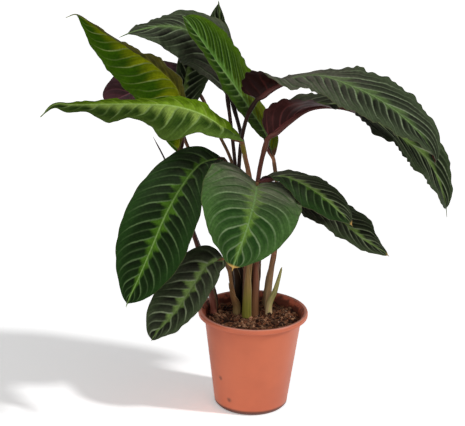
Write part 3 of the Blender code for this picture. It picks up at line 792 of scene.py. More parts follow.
def blended(one, other, share):
    """Mix two colours in the script."""
    return tuple(a * (1 - share) + b * share for a, b in zip(one, other))


# ---------------------------------------------------------------- blades


def outline(leaf, along):
    """Half width of a blade at shares of its length, as a share of its largest."""
    skew = math.log(0.5) / math.log(leaf["belly"])
    swell = np.clip(np.sin(np.pi * np.clip(along, 0, 1) ** skew), 0, 1)
    return swell ** np.where(along < leaf["belly"], leaf["blunt"], leaf["tip"])


def vein_lean(reach, slant):
    """How far a side vein has run towards the tip where it is a share across its half.

    It starts close to the midrib, crosses the half at the given slant and turns to the
    tip again near the edge. The answer is in half widths.
    """
    return 0.15 * (1 - np.exp(-reach / 0.07)) + slant * reach + 0.35 * reach**3.5


class Blade:
    """The net of places that one blade is built on, and what is known at each of them."""

    def __init__(self, name, leaf, settings):
        self.name = name
        self.leaf = leaf
        self.start = sum(map(ord, name)) % 7
        midrib = np.array(leaf["midrib"], dtype=float) * MM
        self.length = route_length(smooth_route(midrib, BLADE_ROWS + 1))
        tail_length, hang = leaf["drip"]
        tail = unit(midrib[-1] - midrib[-2]) + np.array([0, 0, -hang])
        midrib = np.vstack([midrib, midrib[-1] + unit(tail) * tail_length * MM])
        self.midrib = smooth_route(midrib, BLADE_ROWS + 1)
        self.full_length = route_length(self.midrib)
        self.heading = unit(np.gradient(self.midrib, axis=0))
        face = np.array(leaf["face"], dtype=float)
        self.face = unit(face - self.heading * (self.heading @ face)[:, None])
        self.side = np.cross(self.heading, self.face)
        steps = np.arange(-HALF_CELLS, HALF_CELLS + 1) / HALF_CELLS
        self.across = (np.sign(steps) * np.abs(steps) ** RIB_CROWDING)[None, :]
        self.reach = np.abs(self.across)
        distance = np.linspace(0, self.full_length, BLADE_ROWS + 1)
        self.along = np.clip(distance / self.length, 0, 1)[:, None]
        self.tail = np.clip((distance - self.length) / (tail_length * MM), 0, 1)[:, None]
        self.swell = outline(leaf, self.along)
        self.phase = self.find_phase()
        self.lump = 0.65 + 0.35 * np.sin(2.1 * np.floor(self.phase / 2) + self.start)
        self.room = self.find_room(settings)
        self.middle = self.find_places()
        across_step = np.gradient(self.middle, axis=1)
        along_step = np.gradient(self.middle, axis=0)
        self.normal = unit(np.cross(across_step, along_step))
        self.middle = self.middle + self.normal * self.find_ripple()[..., None]

    def of_half(self, pair):
        """Read a pair of values for the left and the right half at every column."""
        return np.where(self.across > 0, pair[1], pair[0])

    def find_phase(self):
        """Count side veins from the stalk to the tip: each is at a whole number."""
        slant = self.of_half(self.leaf["lean"])
        widths = self.leaf["left"][0], self.leaf["right"][0]
        lean = vein_lean(self.reach, slant) * self.of_half(widths) * MM / self.length
        lean = lean * (0.3 + 0.7 * smooth_step(self.along, 0, 0.4))
        count = self.length / (self.leaf["veins"][0] * MM)
        count = count * np.where(self.across < 0, self.leaf.get("sparse", 1), 1)
        apart = np.where(self.across > 0, 0.45, 0) * smooth_step(self.reach, 0, 0.06)
        return count * (self.along - lean) + apart

    def find_room(self, settings):
        """Half width of the blade at every place, in metres."""
        widths = self.leaf["left"][0], self.leaf["right"][0]
        room = self.of_half(widths) * MM * self.swell
        if self.name in SWAY:
            height, turns, begin = SWAY[self.name]
            wave = np.cos(2 * np.pi * (turns * self.along**2 - begin))
            fade = smooth_step(self.along, 0.15, 0.35) * smooth_step(self.along, 1, 0.9)
            room = room * (1 + height * wave * fade * (self.across < 0))
        at_base = self.leaf["frill"] * MM * smooth_step(self.along, 0.3, 0.12)
        fold = self.phase / np.where(self.across < 0, 2 * self.leaf.get("sparse", 1), 2)
        bulge = (settings.scallop + at_base) * self.lump * np.abs(np.sin(np.pi * fold))
        crimps = np.abs(np.sin(np.pi * CRIMPS * self.along)) * smooth_step(self.along, 0.42, 0.26)
        bulge = bulge + self.leaf.get("crimp", 0) * MM * crimps * (self.across > 0)
        bulge = bulge * self.reach**4
        room = room + bulge * np.minimum(self.swell * 2, 1)
        return np.maximum(room, BLADE_END * (1 - 0.75 * self.tail))

    def find_places(self):
        """Places on the blade's middle surface."""
        cup = math.radians(self.leaf["cup"])
        left = eased(self.leaf["left"][1], self.along)
        right = eased(self.leaf["right"][1], self.along)
        start = np.radians(self.of_half((left, right))) - cup * CUP_CENTRE
        stop = start + cup * self.reach
        out = self.room * (np.sin(stop) - np.sin(start)) / cup * np.sign(self.across)
        up = self.room * (np.cos(start) - np.cos(stop)) / cup
        back = self.leaf["lobe"] * MM * self.reach**1.5 * np.sqrt(self.swell)
        back = back * (1 - self.along) ** LOBE_REACH
        places = self.midrib[:, None] + self.side[:, None] * out[..., None]
        places = places + self.face[:, None] * up[..., None]
        return places - self.heading[:, None] * back[..., None]

    def find_ripple(self):
        """Height of the waves along the blade's edges, in metres."""
        turn = 2 * np.pi * self.length * self.along
        wave = np.sin(turn / (46 * MM) + self.start + self.across)
        wave = wave + 0.45 * np.sin(turn / (20 * MM) + 2 * self.start - self.across)
        frill = np.sin(turn / (15 * MM) + 3 * self.start + 1.6 * np.sin(turn / (52 * MM)))
        fade = np.sqrt(np.clip(np.sin(np.pi * self.along), 0, 1))
        height = self.leaf["ripple"] * wave * self.reach**2.5
        height = height + self.leaf["frill"] * frill * self.reach**5
        return height * MM * fade

    def rib_cover(self, settings):
        """How far the blade stands above and below the midrib's line, without the ridge."""
        gap = self.reach * self.room
        inner = smooth_step(self.reach, 0.03, 0.25) * (1 - smooth_step(self.reach, 0.8, 1))
        swell = np.minimum(self.swell * 1.6, 1)
        swells = np.abs(np.sin(np.pi * self.phase)) + 0.7 * np.abs(np.sin(np.pi * self.phase / 2))
        relief = settings.quilt * self.lump * swells * inner * swell
        width = settings.rib_width * (1 - 0.6 * self.along)
        groove = settings.groove * np.exp(-(gap / width) ** 2) * swell
        ridge = settings.rib_depth * (1 - 0.8 * self.along) * np.exp(-(gap / (width * 0.7)) ** 2)
        return relief - groove, ridge

    def build(self, settings, materials):
        """Make the blade as a thin sheet with a rib below and a groove above."""
        rise, ridge = self.rib_cover(settings)
        half = settings.thickness / 2
        upper = self.middle + self.normal * (rise + half)[..., None]
        lower = self.middle + self.normal * (rise - half - ridge)[..., None]
        ones = np.ones_like(self.phase)
        shape = Shape()
        shape.add_shell(
            upper, lower, phase=self.phase, room=self.room, across=self.reach * ones,
            along=self.along * ones, side=np.sign(self.across) * ones)
        return shape.finish("blade_" + self.name, materials)


class BladePaint(Paint):
    """A blade's material: the pattern that its veins, feathering, midrib and edge make."""

    def __init__(self, name, leaf, settings, looks, **sockets):
        super().__init__(name, **sockets)
        self.looks = [getattr(looks, look) for look in leaf["look"]]
        self.spacing, self.spread, self.blur = leaf["veins"]
        self.phase = self.attribute("phase")
        self.reach = self.attribute("across")
        self.along = self.attribute("along")
        self.side = self.step(self.attribute("side"), -0.4, 0.4)
        self.gap = self.times(self.reach, self.attribute("room"))
        self.streak = self.noise(
            self.vector(self.times(self.phase, 9), self.times(self.gap, 70)), 1, 4, 0.6)
        wander = self.noise(self.vector(self.phase, self.times(self.gap, 90)), 1.3)
        self.wandered = self.maths(
            "ADD", self.phase, self.maths("MULTIPLY_ADD", wander, 0.16, -0.08))
        self.cell = self.maths("FRACT", self.wandered)
        self.second = self.find_second(self.wandered)
        self.vein = self.find_vein(settings)
        self.feather = self.find_feather()
        self.rib = self.find_rib(settings)

    def colour_of(self, part):
        """The colour of one part of the pattern, on the left and on the right half."""
        left, right = (tuple(getattr(look, part)) for look in self.looks)
        return left if left == right else self.mix(self.side, left, right)

    def find_second(self, count):
        """1 from each odd number to the next even one, and 0 elsewhere."""
        return self.maths("GREATER_THAN", self.maths("FRACT", self.times(count, 0.5)), 0.5)

    def find_vein(self, settings):
        """Share of a side vein's colour: every second one is faint."""
        off_middle = self.maths("ABSOLUTE", self.maths("SUBTRACT", self.cell, 0.5))
        off_vein = self.maths("SUBTRACT", 0.5, off_middle)
        half = settings.vein_width / (self.spacing * MM) / 2
        fine = self.maths("MULTIPLY_ADD", self.streak, 1.2, 0.4)
        line = self.times(self.step(off_vein, half * 2.6, 0.0), fine)
        faint = self.find_second(self.maths("ADD", self.wandered, 0.5))
        line = self.times(line, self.maths("MULTIPLY_ADD", faint, -0.62, 1))
        return self.times(line, self.step(self.reach, 1.05, 0.45))

    def find_feather(self):
        """Share of the bright band: widest just past a side vein, with a streaky border."""
        spread = self.maths("POWER", self.maths("SUBTRACT", 1, self.cell), 1.3)
        spread = self.times(spread, self.step(self.along, 1.2, 0.25))
        cell_number = self.maths("FLOOR", self.wandered)
        chance = self.noise(self.vector(self.times(cell_number, 7.7), self.side), 1, 0)
        size = self.maths("MULTIPLY_ADD", self.second, -0.55, self.maths("ADD", chance, 0.55))
        spread = self.times(self.times(spread, size), self.spread)
        ragged = self.maths("MULTIPLY_ADD", self.streak, 1.5, 0.25)
        edge = self.maths("MULTIPLY_ADD", spread, ragged, 0.04)
        past = self.maths("SUBTRACT", self.reach, edge)
        return self.step(past, self.blur * 1.6, -self.blur)

    def find_rib(self, settings):
        """Share of the midrib's colour."""
        half = settings.rib_width / 2
        width = self.maths("MULTIPLY_ADD", self.along, -0.68 * half, half)
        return self.step(self.maths("DIVIDE", self.gap, width), 1.3, 0.5)


def top_material(name, leaf, settings, looks):
    """Velvety upper side of a blade: dark panels between veins, feathered at the midrib."""
    paint = BladePaint(
        "blade_top_" + name, leaf, settings, looks, Roughness=0.55, Sheen_Weight=0.01,
        Sheen_Roughness=0.4, Sheen_Tint=(0.8, 0.86, 0.6, 1), Specular_IOR_Level=0.04)
    # Lighter towards the next vein across each cell, on every second cell and towards the margin: the
    # blade's own pattern, with the rise across each cell also standing for painted pleat shading.
    lift = paint.times(paint.step(paint.cell, 0.3, 1.0), 0.4)
    lift = paint.maths("ADD", lift, paint.times(paint.second, 0.16))
    outer = paint.times(paint.step(paint.reach, 0.4, 0.92), 0.8)
    light = paint.maths("MAXIMUM", lift, outer)
    light = paint.times(light, paint.maths("MULTIPLY_ADD", paint.streak, 0.7, 0.65))
    colour = paint.mix(light, paint.colour_of("panel"), paint.colour_of("margin"))
    colour = paint.mix(paint.feather, colour, paint.colour_of("feather"))
    colour = paint.mix(paint.times(paint.vein, 0.75), colour, paint.colour_of("vein"))
    # Painted grey sheen over the pleats, graded from the stalk to the tip.
    at_stalk, at_tip = leaf["haze"]
    if at_stalk > 0 or at_tip > 0:
        fade = paint.node("MapRange", inputs={
            "Value": paint.along, "From Min": 0.15, "From Max": 0.65,
            "To Min": at_stalk, "To Max": at_tip}, interpolation_type="SMOOTHSTEP")
        pleat = paint.step(paint.cell, 0.02, 0.42)
        cloud = paint.step(paint.noise(paint.place(), 34, 3), 0.25, 0.7)
        cloud = paint.maths("MULTIPLY_ADD", cloud, 0.45, 0.4)
        haze = paint.times(paint.times(fade, pleat), cloud)
        colour = paint.mix(haze, colour, paint.colour_of("haze"))
    colour = paint.mix(paint.times(paint.rib, 0.9), colour, paint.colour_of("rib"))
    edge = paint.times(paint.step(paint.reach, 0.975, 0.998), 0.5)
    colour = paint.mix(edge, colour, settings.rim)
    if name in DRY_TIPS:
        dry = paint.times(paint.step(paint.along, 0.972, 0.995), DRY_TIPS[name])
        colour = paint.mix(dry, colour, settings.dry_tip)
    if name in DRY_FEET:
        dry = paint.step(paint.along, DRY_FEET[name], DRY_FEET[name] * 0.7)
        colour = paint.mix(dry, colour, settings.dry_foot)
    stretched = paint.vector(paint.times(paint.phase, 16), paint.times(paint.gap, 30))
    fine = paint.noise(stretched, 1, 1)
    stripe = paint.mix(paint.step(fine, 0.3, 0.7), (0.8, 0.8, 0.78), (1.2, 1.2, 1.2))
    colour = paint.mix(1.0, colour, stripe, "MULTIPLY")
    if "tone" in leaf:
        tone_at_stalk, tone_at_tip = leaf["tone"]
        tone = paint.node("MapRange", inputs={
            "Value": paint.along, "From Min": 0.1, "From Max": 0.9,
            "To Min": tone_at_stalk, "To Max": tone_at_tip})
        colour = paint.mix(1.0, colour, tone, "MULTIPLY")
    flecks = paint.noise(paint.place(), 260, 4)
    speckle = paint.mix(paint.step(flecks, 0.35, 0.7), (0.84, 0.84, 0.84), (1.1, 1.1, 1.06))
    colour = paint.mix(1.0, colour, speckle, "MULTIPLY")
    paint.bump(fine, 0.25 * MM, 0.5)
    return paint.done(colour, paint.maths("MULTIPLY_ADD", paint.streak, 0.2, 0.46))


def under_material(name, leaf, settings, looks):
    """Purple-brown lower side of a blade with its raised veins."""
    paint = BladePaint(
        "blade_under_" + name, leaf, settings, looks, Sheen_Weight=0.02, Sheen_Roughness=0.5,
        Sheen_Tint=(0.9, 0.8, 0.82, 1), Specular_IOR_Level=0.12)
    under = paint.colour_of("under")
    pale = paint.mix(1.0, under, (2.1, 2.1, 2.2), "MULTIPLY")
    dark = paint.mix(1.0, under, (0.28, 0.24, 0.24), "MULTIPLY")
    cloud = paint.noise(paint.place(), 38, 4)
    # Darker in random patches, and darker towards the stalk as painted shade.
    at_stalk = paint.step(paint.along, 0.4, 0.1)
    shaded = paint.maths("MULTIPLY_ADD", at_stalk, 0.5, paint.step(cloud, 0.8, 0.3))
    colour = paint.mix(shaded, under, dark)
    colour = paint.mix(paint.times(paint.vein, 0.4), colour, pale)
    colour = paint.mix(paint.rib, colour, pale)
    paint.bump(paint.vein, 0.3 * MM, 0.6)
    return paint.done(colour, 0.55)


def rim_material(settings):
    """The thin edge of a blade."""
    paint = Paint("blade_rim", Roughness=0.55)
    dark = tuple(value * 0.5 for value in settings.rim)
    return paint.done(paint.mix(paint.noise(paint.place(), 90), settings.rim, dark))


# ---------------------------------------------------------------- stalks


def stalk_foot(stalk):
    """The upright points where a stem leaves the soil, in millimetres."""
    x, y = stalk["foot"]
    top = SOIL_TOP / MM
    return [(x, y, top - 12), (x, y, top), (x, y, top + 8)]


def stem_route(stem, rows):
    """The line of a stem from its foot in the soil to its top, in metres."""
    places = np.array(stalk_foot(stem) + stem["route"], dtype=float) * MM
    return smooth_route(places, rows)


def ring_net(route, sides, ups, radii, angles):
    """Net of places round a line, at the given angles from its side direction."""
    angles = np.broadcast_to(angles, (len(route), np.shape(angles)[-1]))
    radii = np.broadcast_to(radii, angles.shape)
    out = sides[:, None] * np.cos(angles)[..., None] + ups[:, None] * np.sin(angles)[..., None]
    return route[:, None] + out * radii[..., None]


def taper(stalk, along):
    """Radius of a stem at shares of its length."""
    foot, top = (radius * MM for radius in stalk["radii"])
    return top + (foot - top) * np.clip(1 - along / 0.55, 0, 1) ** 1.2


def add_sheath(shape, route, frame_sides, radii, share, settings):
    """Wrap the lower part of a stalk in its sheath, open on the stalk's side direction."""
    sides, ups = frame_sides
    rows = max(int(len(route) * share), 8)
    along = np.linspace(0, 1, rows)[:, None]
    columns = np.linspace(-1, 1, SHEATH_COLUMNS)[None, :]
    open_half = np.radians(22 + 140 * smooth_step(along, 0.25, 1) ** 1.3)
    angles = math.pi + columns * (math.pi - open_half)
    flare = np.abs(columns) ** 6 * 1.1 * MM * (0.4 + 0.6 * along)
    inner = radii[:rows, None] + settings.sheath_gap + flare
    wall = settings.sheath_wall * (1 - 0.55 * np.abs(columns) ** 2)
    lower = ring_net(route[:rows], sides[:rows], ups[:rows], inner, angles)
    upper = ring_net(route[:rows], sides[:rows], ups[:rows], inner + wall, angles)
    ones = np.ones((rows, SHEATH_COLUMNS))
    shape.add_shell(
        lower[:, ::-1], upper[:, ::-1], slots=(1, 1, 1), along=along * share * ones,
        edge=np.abs(columns) * ones, top=along * ones)


def rib_below(blade, blades, top):
    """The line and the radii of a stalk's last part, which runs on below its blade."""
    rows = np.arange(1, int(BLADE_ROWS * RIB_SHARE), 2)
    along = rows / rows[-1]
    radii = top * (1 - along) ** 0.9 + 0.4 * MM
    distance = rows / BLADE_ROWS * blade.full_length
    depth = (radii + blades.groove + blades.thickness / 2) * smooth_step(distance, 0, 14 * MM)
    line = blade.midrib[rows] - blade.normal[rows, HALF_CELLS] * depth[:, None]
    return line, radii


def build_stalk(name, stalk, blade, settings, blades, materials):
    """Make a stalk that swells at its joint and runs on below the blade as its midrib."""
    route = stem_route(stalk, STALK_ROWS)
    along = np.linspace(0, 1, STALK_ROWS)
    radii = taper(stalk, along)
    from_top = (1 - along) * route_length(route)
    joint = np.exp(-((from_top / settings.joint_length - 0.5) / 0.42) ** 4)
    radii = radii * (1 + settings.joint_swell * joint)
    rib, rib_radii = rib_below(blade, blades, radii[-1])
    line = np.vstack([route, rib])
    thickness = np.append(radii, rib_radii)
    reach = np.append(along, np.linspace(1.02, 2, len(rib)))
    joints = np.append(joint, np.zeros(len(rib)))
    sides, ups = carried_frame(line, compass(stalk["opening"]))
    angles = np.linspace(0, 2 * math.pi, STALK_SIDES, endpoint=False)
    groove = 1 - 0.1 * np.exp(-(np.minimum(angles, 2 * math.pi - angles) / 0.5) ** 2)
    rings = ring_net(line, sides, ups, thickness[:, None] * groove, angles)
    ones = np.ones(rings.shape[:2])
    shape = Shape()
    shape.add_tube(
        rings, along=reach[:, None] * ones, joint=joints[:, None] * ones,
        angle=angles[None, :] / math.pi * ones)
    frames = sides[:STALK_ROWS], ups[:STALK_ROWS]
    add_sheath(shape, route, frames, radii, stalk["sheath"], settings)
    return shape.finish(name, materials)


def stalk_tones(stalk):
    """A stem's colours at its foot, along its length and at its joint."""
    return [tint(*tone) for tone in stalk["tones"]]


def stalk_material(name, stalk, settings):
    """Streaky skin of a stalk, with colours of its own at its foot and at its joint."""
    paint = Paint(
        "stalk_" + name, Specular_IOR_Level=0.15, Sheen_Weight=0.02, Sheen_Roughness=0.5)
    foot, body, joint = stalk_tones(stalk)
    along = paint.attribute("along")
    around = paint.times(paint.attribute("angle"), 9)
    streak = paint.noise(paint.vector(around, paint.times(along, 2.5)), 1.6, 4)
    colour = paint.mix(paint.step(along, 0.12, 0.42), foot, body)
    colour = paint.mix(paint.times(paint.attribute("joint"), 0.85), colour, joint)
    colour = paint.mix(paint.step(along, 1.0, 1.1), colour, settings.rib_below)
    shaded = paint.mix(paint.step(streak, 0.3, 0.7), (0.6, 0.6, 0.58), (1.35, 1.32, 1.3))
    colour = paint.mix(1.0, colour, shaded, "MULTIPLY")
    paint.bump(streak, 0.3 * MM, 0.4)
    return paint.done(colour, paint.maths("MULTIPLY_ADD", streak, 0.25, 0.32))


def sheath_material(name, stalk, settings):
    """A sheath: coloured like its stalk, pale and dry along its edges and at its top."""
    paint = Paint("sheath_" + name, Specular_IOR_Level=0.15)
    foot, body, _ = stalk_tones(stalk)
    along = paint.attribute("along")
    edge = paint.attribute("edge")
    across = paint.times(edge, 14)
    grain = paint.noise(paint.vector(across, paint.times(along, 3)), 1.5, 4)
    colour = paint.mix(paint.step(along, 0.1, 0.36), foot, body)
    shaded = paint.mix(paint.step(grain, 0.3, 0.7), (0.66, 0.65, 0.62), (1.3, 1.28, 1.25))
    colour = paint.mix(1.0, colour, shaded, "MULTIPLY")
    pale = blended(blended(foot, body, 0.5), settings.edge, settings.edge_share)
    at_top = paint.step(paint.attribute("top"), 0.86, 1.0)
    dry = paint.maths("MAXIMUM", paint.step(edge, 0.84, 0.97), at_top)
    colour = paint.mix(paint.times(dry, 0.85), colour, pale)
    paint.bump(grain, 0.3 * MM, 0.5)
    return paint.done(colour, paint.maths("MULTIPLY_ADD", grain, 0.25, 0.4))


# ---------------------------------------------------------------- shoots


def build_shoot(name, shoot, materials):
    """Make a rolled young leaf: a slender cone with the spiral seam of its outer edge."""
    route = stem_route(shoot, STALK_ROWS)
    along = np.linspace(0, 1, STALK_ROWS)
    foot, top = (radius * MM for radius in shoot["radii"])
    radii = top + (foot - top) * (1 - along) ** 0.75
    radii = radii * np.sqrt(np.clip((1 - along) / 0.06, 0.02, 1))
    sides, ups = carried_frame(route, compass(SEAM_OPENING))
    columns = np.linspace(0, 1, SHOOT_COLUMNS)
    seam = 2 * math.pi * (columns[None, :] + 0.5 * along[:, None])
    roll = 1 + 0.16 * columns[None, :]
    rings = ring_net(route, sides, ups, radii[:, None] * roll, seam)
    ones = np.ones(rings.shape[:2])
    shape = Shape()
    shape.add_tube(rings, along=along[:, None] * ones, edge=columns[None, :] * ones)
    return shape.finish(name, materials)


def build_stump(name, shoot, materials):
    """Make the dried sheath of a leaf that was taken off: a short open sleeve."""
    route = stem_route(shoot, STUMP_ROWS)
    along = np.linspace(0, 1, STUMP_ROWS)[:, None]
    foot, top = (radius * MM for radius in shoot["radii"])
    columns = np.linspace(-1, 1, STUMP_COLUMNS)[None, :]
    sides, ups = carried_frame(route, compass(STUMP_OPENING))
    angles = math.pi + columns * math.radians(165)
    radii = top + (foot - top) * (1 - along) + 0.5 * MM * np.abs(columns) ** 4
    ragged = 0.06 * np.sin(columns * 9) + 0.04 * np.sin(columns * 23)
    lean = np.clip(along + ragged * along**3, 0, 1)
    base = np.stack([np.interp(lean, along[:, 0], route[:, axis]) for axis in range(3)], axis=-1)
    out = sides[:, None] * np.cos(angles)[..., None] + ups[:, None] * np.sin(angles)[..., None]
    inner = base + out * radii[..., None]
    outer = base + out * (radii + 1.1 * MM)[..., None]
    ones = np.ones(inner.shape[:2])
    shape = Shape()
    shape.add_shell(
        inner[:, ::-1], outer[:, ::-1], slots=(0, 0, 0), along=along * ones,
        edge=np.abs(columns) * ones)
    return shape.finish(name, materials)


def shoot_material(name, colour, foot_colour, edge_colour):
    """Skin of a young or an old shoot, streaked along its length."""
    paint = Paint("skin_" + name, Specular_IOR_Level=0.4)
    along = paint.attribute("along")
    edge = paint.attribute("edge")
    streak = paint.noise(paint.vector(paint.times(edge, 16), paint.times(along, 2)), 1.4, 4)
    dark = tuple(value * 0.6 for value in colour)
    skin = paint.mix(paint.step(streak, 0.3, 0.7), dark, colour)
    skin = paint.mix(paint.step(along, 0.5, 0.1), skin, foot_colour)
    skin = paint.mix(paint.step(edge, 0.9, 1.0), skin, edge_colour)
    paint.bump(streak, 0.3 * MM, 0.4)
    return paint.done(skin, 0.5)


# ---------------------------------------------------------------- pot


def rounded(corners, steps=6):
    """Turn corners of (radius, height, rounding) into a profile with round corners."""
    profile = []
    count = len(corners)
    for i, (radius, height, rounding) in enumerate(corners):
        here = Vector((radius, height))
        if rounding == 0 or i in (0, count - 1):
            profile.append(here)
            continue
        before = Vector(corners[i - 1][:2]) - here
        after = Vector(corners[i + 1][:2]) - here
        half = before.angle(after) / 2
        back = rounding / math.tan(half)
        inwards = (before.normalized() + after.normalized()).normalized()
        centre = here + inwards * (rounding / math.sin(half))
        start = here + before.normalized() * back - centre
        stop = here + after.normalized() * back - centre
        turn = start.angle_signed(stop)
        for step in range(steps + 1):
            angle = -turn * step / steps
            arm = Matrix.Rotation(angle, 2) @ start
            profile.append(centre + arm)
    return profile


def pot_profile(settings):
    """Corners of the pot's wall: inside up, over the rolled lip and down outside."""
    neck = settings.neck_radius
    height = settings.neck_height
    inner = neck - settings.wall
    slope = (neck - settings.base_radius) / height

    def side(level):
        return settings.base_radius + slope * level

    return [
        (0, settings.floor, 0),
        (side(settings.floor) - settings.wall, settings.floor, 2 * MM),
        (inner, height, 2 * MM),
        (inner + 1.3 * MM, POT_HEIGHT - 6 * MM, 3 * MM),
        (inner + 6.2 * MM, POT_HEIGHT - 0.6 * MM, 2 * MM),
        (LIP_RADIUS - 1.3 * MM, POT_HEIGHT, 1.2 * MM),
        (LIP_RADIUS, POT_HEIGHT - 2.2 * MM, 1 * MM),
        (LIP_RADIUS, POT_HEIGHT - 7.2 * MM, 0.9 * MM),
        (LIP_RADIUS - 2.6 * MM, POT_HEIGHT - 7.9 * MM, 0.8 * MM),
        (neck + 2.4 * MM, POT_HEIGHT - 8.4 * MM, 0.8 * MM),
        (neck, height, 3 * MM),
        (side(4 * MM), 4 * MM, 2 * MM),
        (side(0) - 3.2 * MM, 0, 1.6 * MM),
        (side(0) - 6.5 * MM, 0, 0.6 * MM),
        (side(0) - 7.5 * MM, 0.9 * MM, 0.6 * MM),
        (0, 0.9 * MM, 0),
    ]


def turned(name, profile, steps):
    """Turn a profile into an object with the screw modifier and apply it."""
    mesh = bpy.data.meshes.new(name)
    points = [(radius, 0, height) for radius, height in profile]
    mesh.from_pydata(points, [(i, i + 1) for i in range(len(points) - 1)], [])
    piece = bpy.data.objects.new(name, mesh)
    bpy.context.scene.collection.objects.link(piece)
    screw = piece.modifiers.new("turn", "SCREW")
    screw.steps = steps
    screw.render_steps = steps
    screw.use_merge_vertices = True
    screw.merge_threshold = 0.01 * MM
    return piece


def apply_modifiers(piece):
    """Turn an object's modifiers into its own mesh."""
    graph = bpy.context.evaluated_depsgraph_get()
    mesh = bpy.data.meshes.new_from_object(piece.evaluated_get(graph))
    piece.modifiers.clear()
    piece.data = mesh
    return mesh


def cut_drains(pot, settings):
    """Cut the ring of drain holes through the pot's base."""
    cutter_shape = Shape()
    angles = np.linspace(0, 2 * math.pi, DRAIN_SIDES, endpoint=False)
    for i in range(DRAINS):
        middle = compass(360 / DRAINS * (i + 0.5)) * settings.drain_circle
        rings = []
        for height in (-2 * MM, 6 * MM):
            ring = np.stack([np.cos(angles), np.sin(angles), 0 * angles], axis=1)
            rings.append(middle + ring * settings.drain_radius + np.array([0, 0, height]))
        cutter_shape.add_tube(np.array(rings))
    cutter = cutter_shape.finish("drain_cutter", [])
    cut = pot.modifiers.new("drains", "BOOLEAN")
    cut.operation = "DIFFERENCE"
    cut.object = cutter
    apply_modifiers(pot)
    bpy.data.objects.remove(cutter)


def mark_share(paint, place, spot, size):
    """Share of a soil mark's colour: full in its middle, with a ragged border."""
    offset = paint.node("VectorMath", "Vector", {0: place, 1: spot}, operation="SUBTRACT")
    length = paint.node("VectorMath", "Value", {0: offset}, operation="LENGTH")
    ragged = paint.times(paint.maths("SUBTRACT", paint.noise(place, 400), 0.5), 3 * MM)
    away = paint.maths("ADD", length, ragged)
    return paint.times(paint.step(away, size, size * 0.15), 0.62)


def inside_share(paint, place):
    """1 on the walls that look to the pot's axis, and 0 on those that look away from it."""
    outwards = paint.node(
        "VectorMath", "Vector", {0: place, 1: (1, 1, 0)}, operation="MULTIPLY")
    normal = paint.node("NewGeometry", "Normal")
    facing = paint.node(
        "VectorMath", "Value", {0: normal, 1: outwards}, operation="DOT_PRODUCT")
    return paint.step(facing, 0, -10 * MM)


def soiled_share(paint, place, height):
    """1 just above the soil, with a patchy upper border, and 0 higher up."""
    patches = paint.maths("SUBTRACT", paint.noise(place, 120, 4), 0.5)
    level = paint.maths("ADD", height, paint.times(patches, 34 * MM))
    return paint.step(level, SOIL_TOP + 13 * MM, SOIL_TOP + 4 * MM)


def pot_material(settings):
    """Moulded terracotta-coloured plastic, scuffed and a little soiled."""
    paint = Paint("pot_plastic", Specular_IOR_Level=0.4)
    place = paint.place()
    height = paint.node("SeparateXYZ", 2, {0: place})
    cloud = paint.noise(place, 14, 3)
    grain = paint.noise(place, 900, 2)
    stained = blended(settings.plastic, settings.shade, 0.35)
    colour = paint.mix(paint.step(cloud, 0.35, 0.75), settings.plastic, stained)
    upright = paint.node("Mapping", inputs={"Vector": place, "Scale": (30, 30, 260)})
    scuff = paint.noise(upright, 1, 5, 0.65)
    scuff = paint.times(paint.step(scuff, 0.62, 0.8), 0.25)
    colour = paint.mix(scuff, colour, settings.shade)
    for spot, size in POT_MARKS:
        colour = paint.mix(mark_share(paint, place, spot, size), colour, settings.grime_and_shade)
    # Painted shade along the pot's lower edge, where it meets the floor.
    base_shade = paint.times(paint.step(height, 9.5 * MM, 5.5 * MM), 0.85)
    colour = paint.mix(base_shade, colour, settings.grime_and_shade)
    inside = inside_share(paint, place)
    # Painted shade: the walls that look inwards are darker all over.
    colour = paint.mix(paint.times(inside, 0.55), colour, settings.shade)
    soiled = paint.times(soiled_share(paint, place, height), inside)
    colour = paint.mix(paint.times(soiled, 0.8), colour, settings.grime_and_shade)
    # Painted highlight along the top of the lip.
    lip_highlight = paint.step(height, POT_HEIGHT - 1.3 * MM, POT_HEIGHT - 0.2 * MM)
    lip_highlight = paint.times(lip_highlight, 0.35)
    colour = paint.mix(lip_highlight, colour, blended(settings.plastic, LIP_HIGHLIGHT, 0.5))
    paint.bump(grain, 0.08 * MM, 0.4)
    return paint.done(colour, paint.maths("MULTIPLY_ADD", cloud, 0.16, 0.34))


# ---------------------------------------------------------------- soil


def soil_height(x, y, settings):
    """Height of the soil's surface at a place."""
    rough = noise.fractal(Vector((x * 95, y * 95, 3.1)), 0.7, 2.1, 5)
    lumps = noise.noise(Vector((x * 34, y * 34, 9.7)))
    return SOIL_TOP - 1.4 * MM + settings.relief * (0.75 * rough + 0.9 * lumps)


def build_soil(settings, material, pot):
    """Make the soil as a plug with a lumpy top."""
    shape = Shape()
    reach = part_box("soil")[1].x - 0.2 * MM
    angles = np.linspace(0, 2 * math.pi, SOIL_SECTORS, endpoint=False)
    net = np.empty((SOIL_RINGS, SOIL_SECTORS, 3))
    for i in range(SOIL_RINGS):
        radius = reach * (i + 0.35) / (SOIL_RINGS - 1 + 0.35)
        for j, angle in enumerate(angles):
            x, y = radius * math.cos(angle), radius * math.sin(angle)
            net[i, j] = x, y, soil_height(x, y, settings)
    base = SOIL_BOX[0].z + 0.3 * MM
    low_radius = pot.base_radius - pot.wall - 0.8 * MM
    skirt = np.stack([
        low_radius * np.cos(angles), low_radius * np.sin(angles),
        np.full(SOIL_SECTORS, base)], axis=1)
    shape.add_tube(np.concatenate([net, skirt[None]]))
    return shape.finish("soil", [material], 180)


def scatter_place(rng, settings, reach):
    """A random place on the soil's surface."""
    radius = reach * math.sqrt(rng.random())
    angle = rng.uniform(0, 2 * math.pi)
    x, y = radius * math.cos(angle), radius * math.sin(angle)
    return Vector((x, y, soil_height(x, y, settings)))


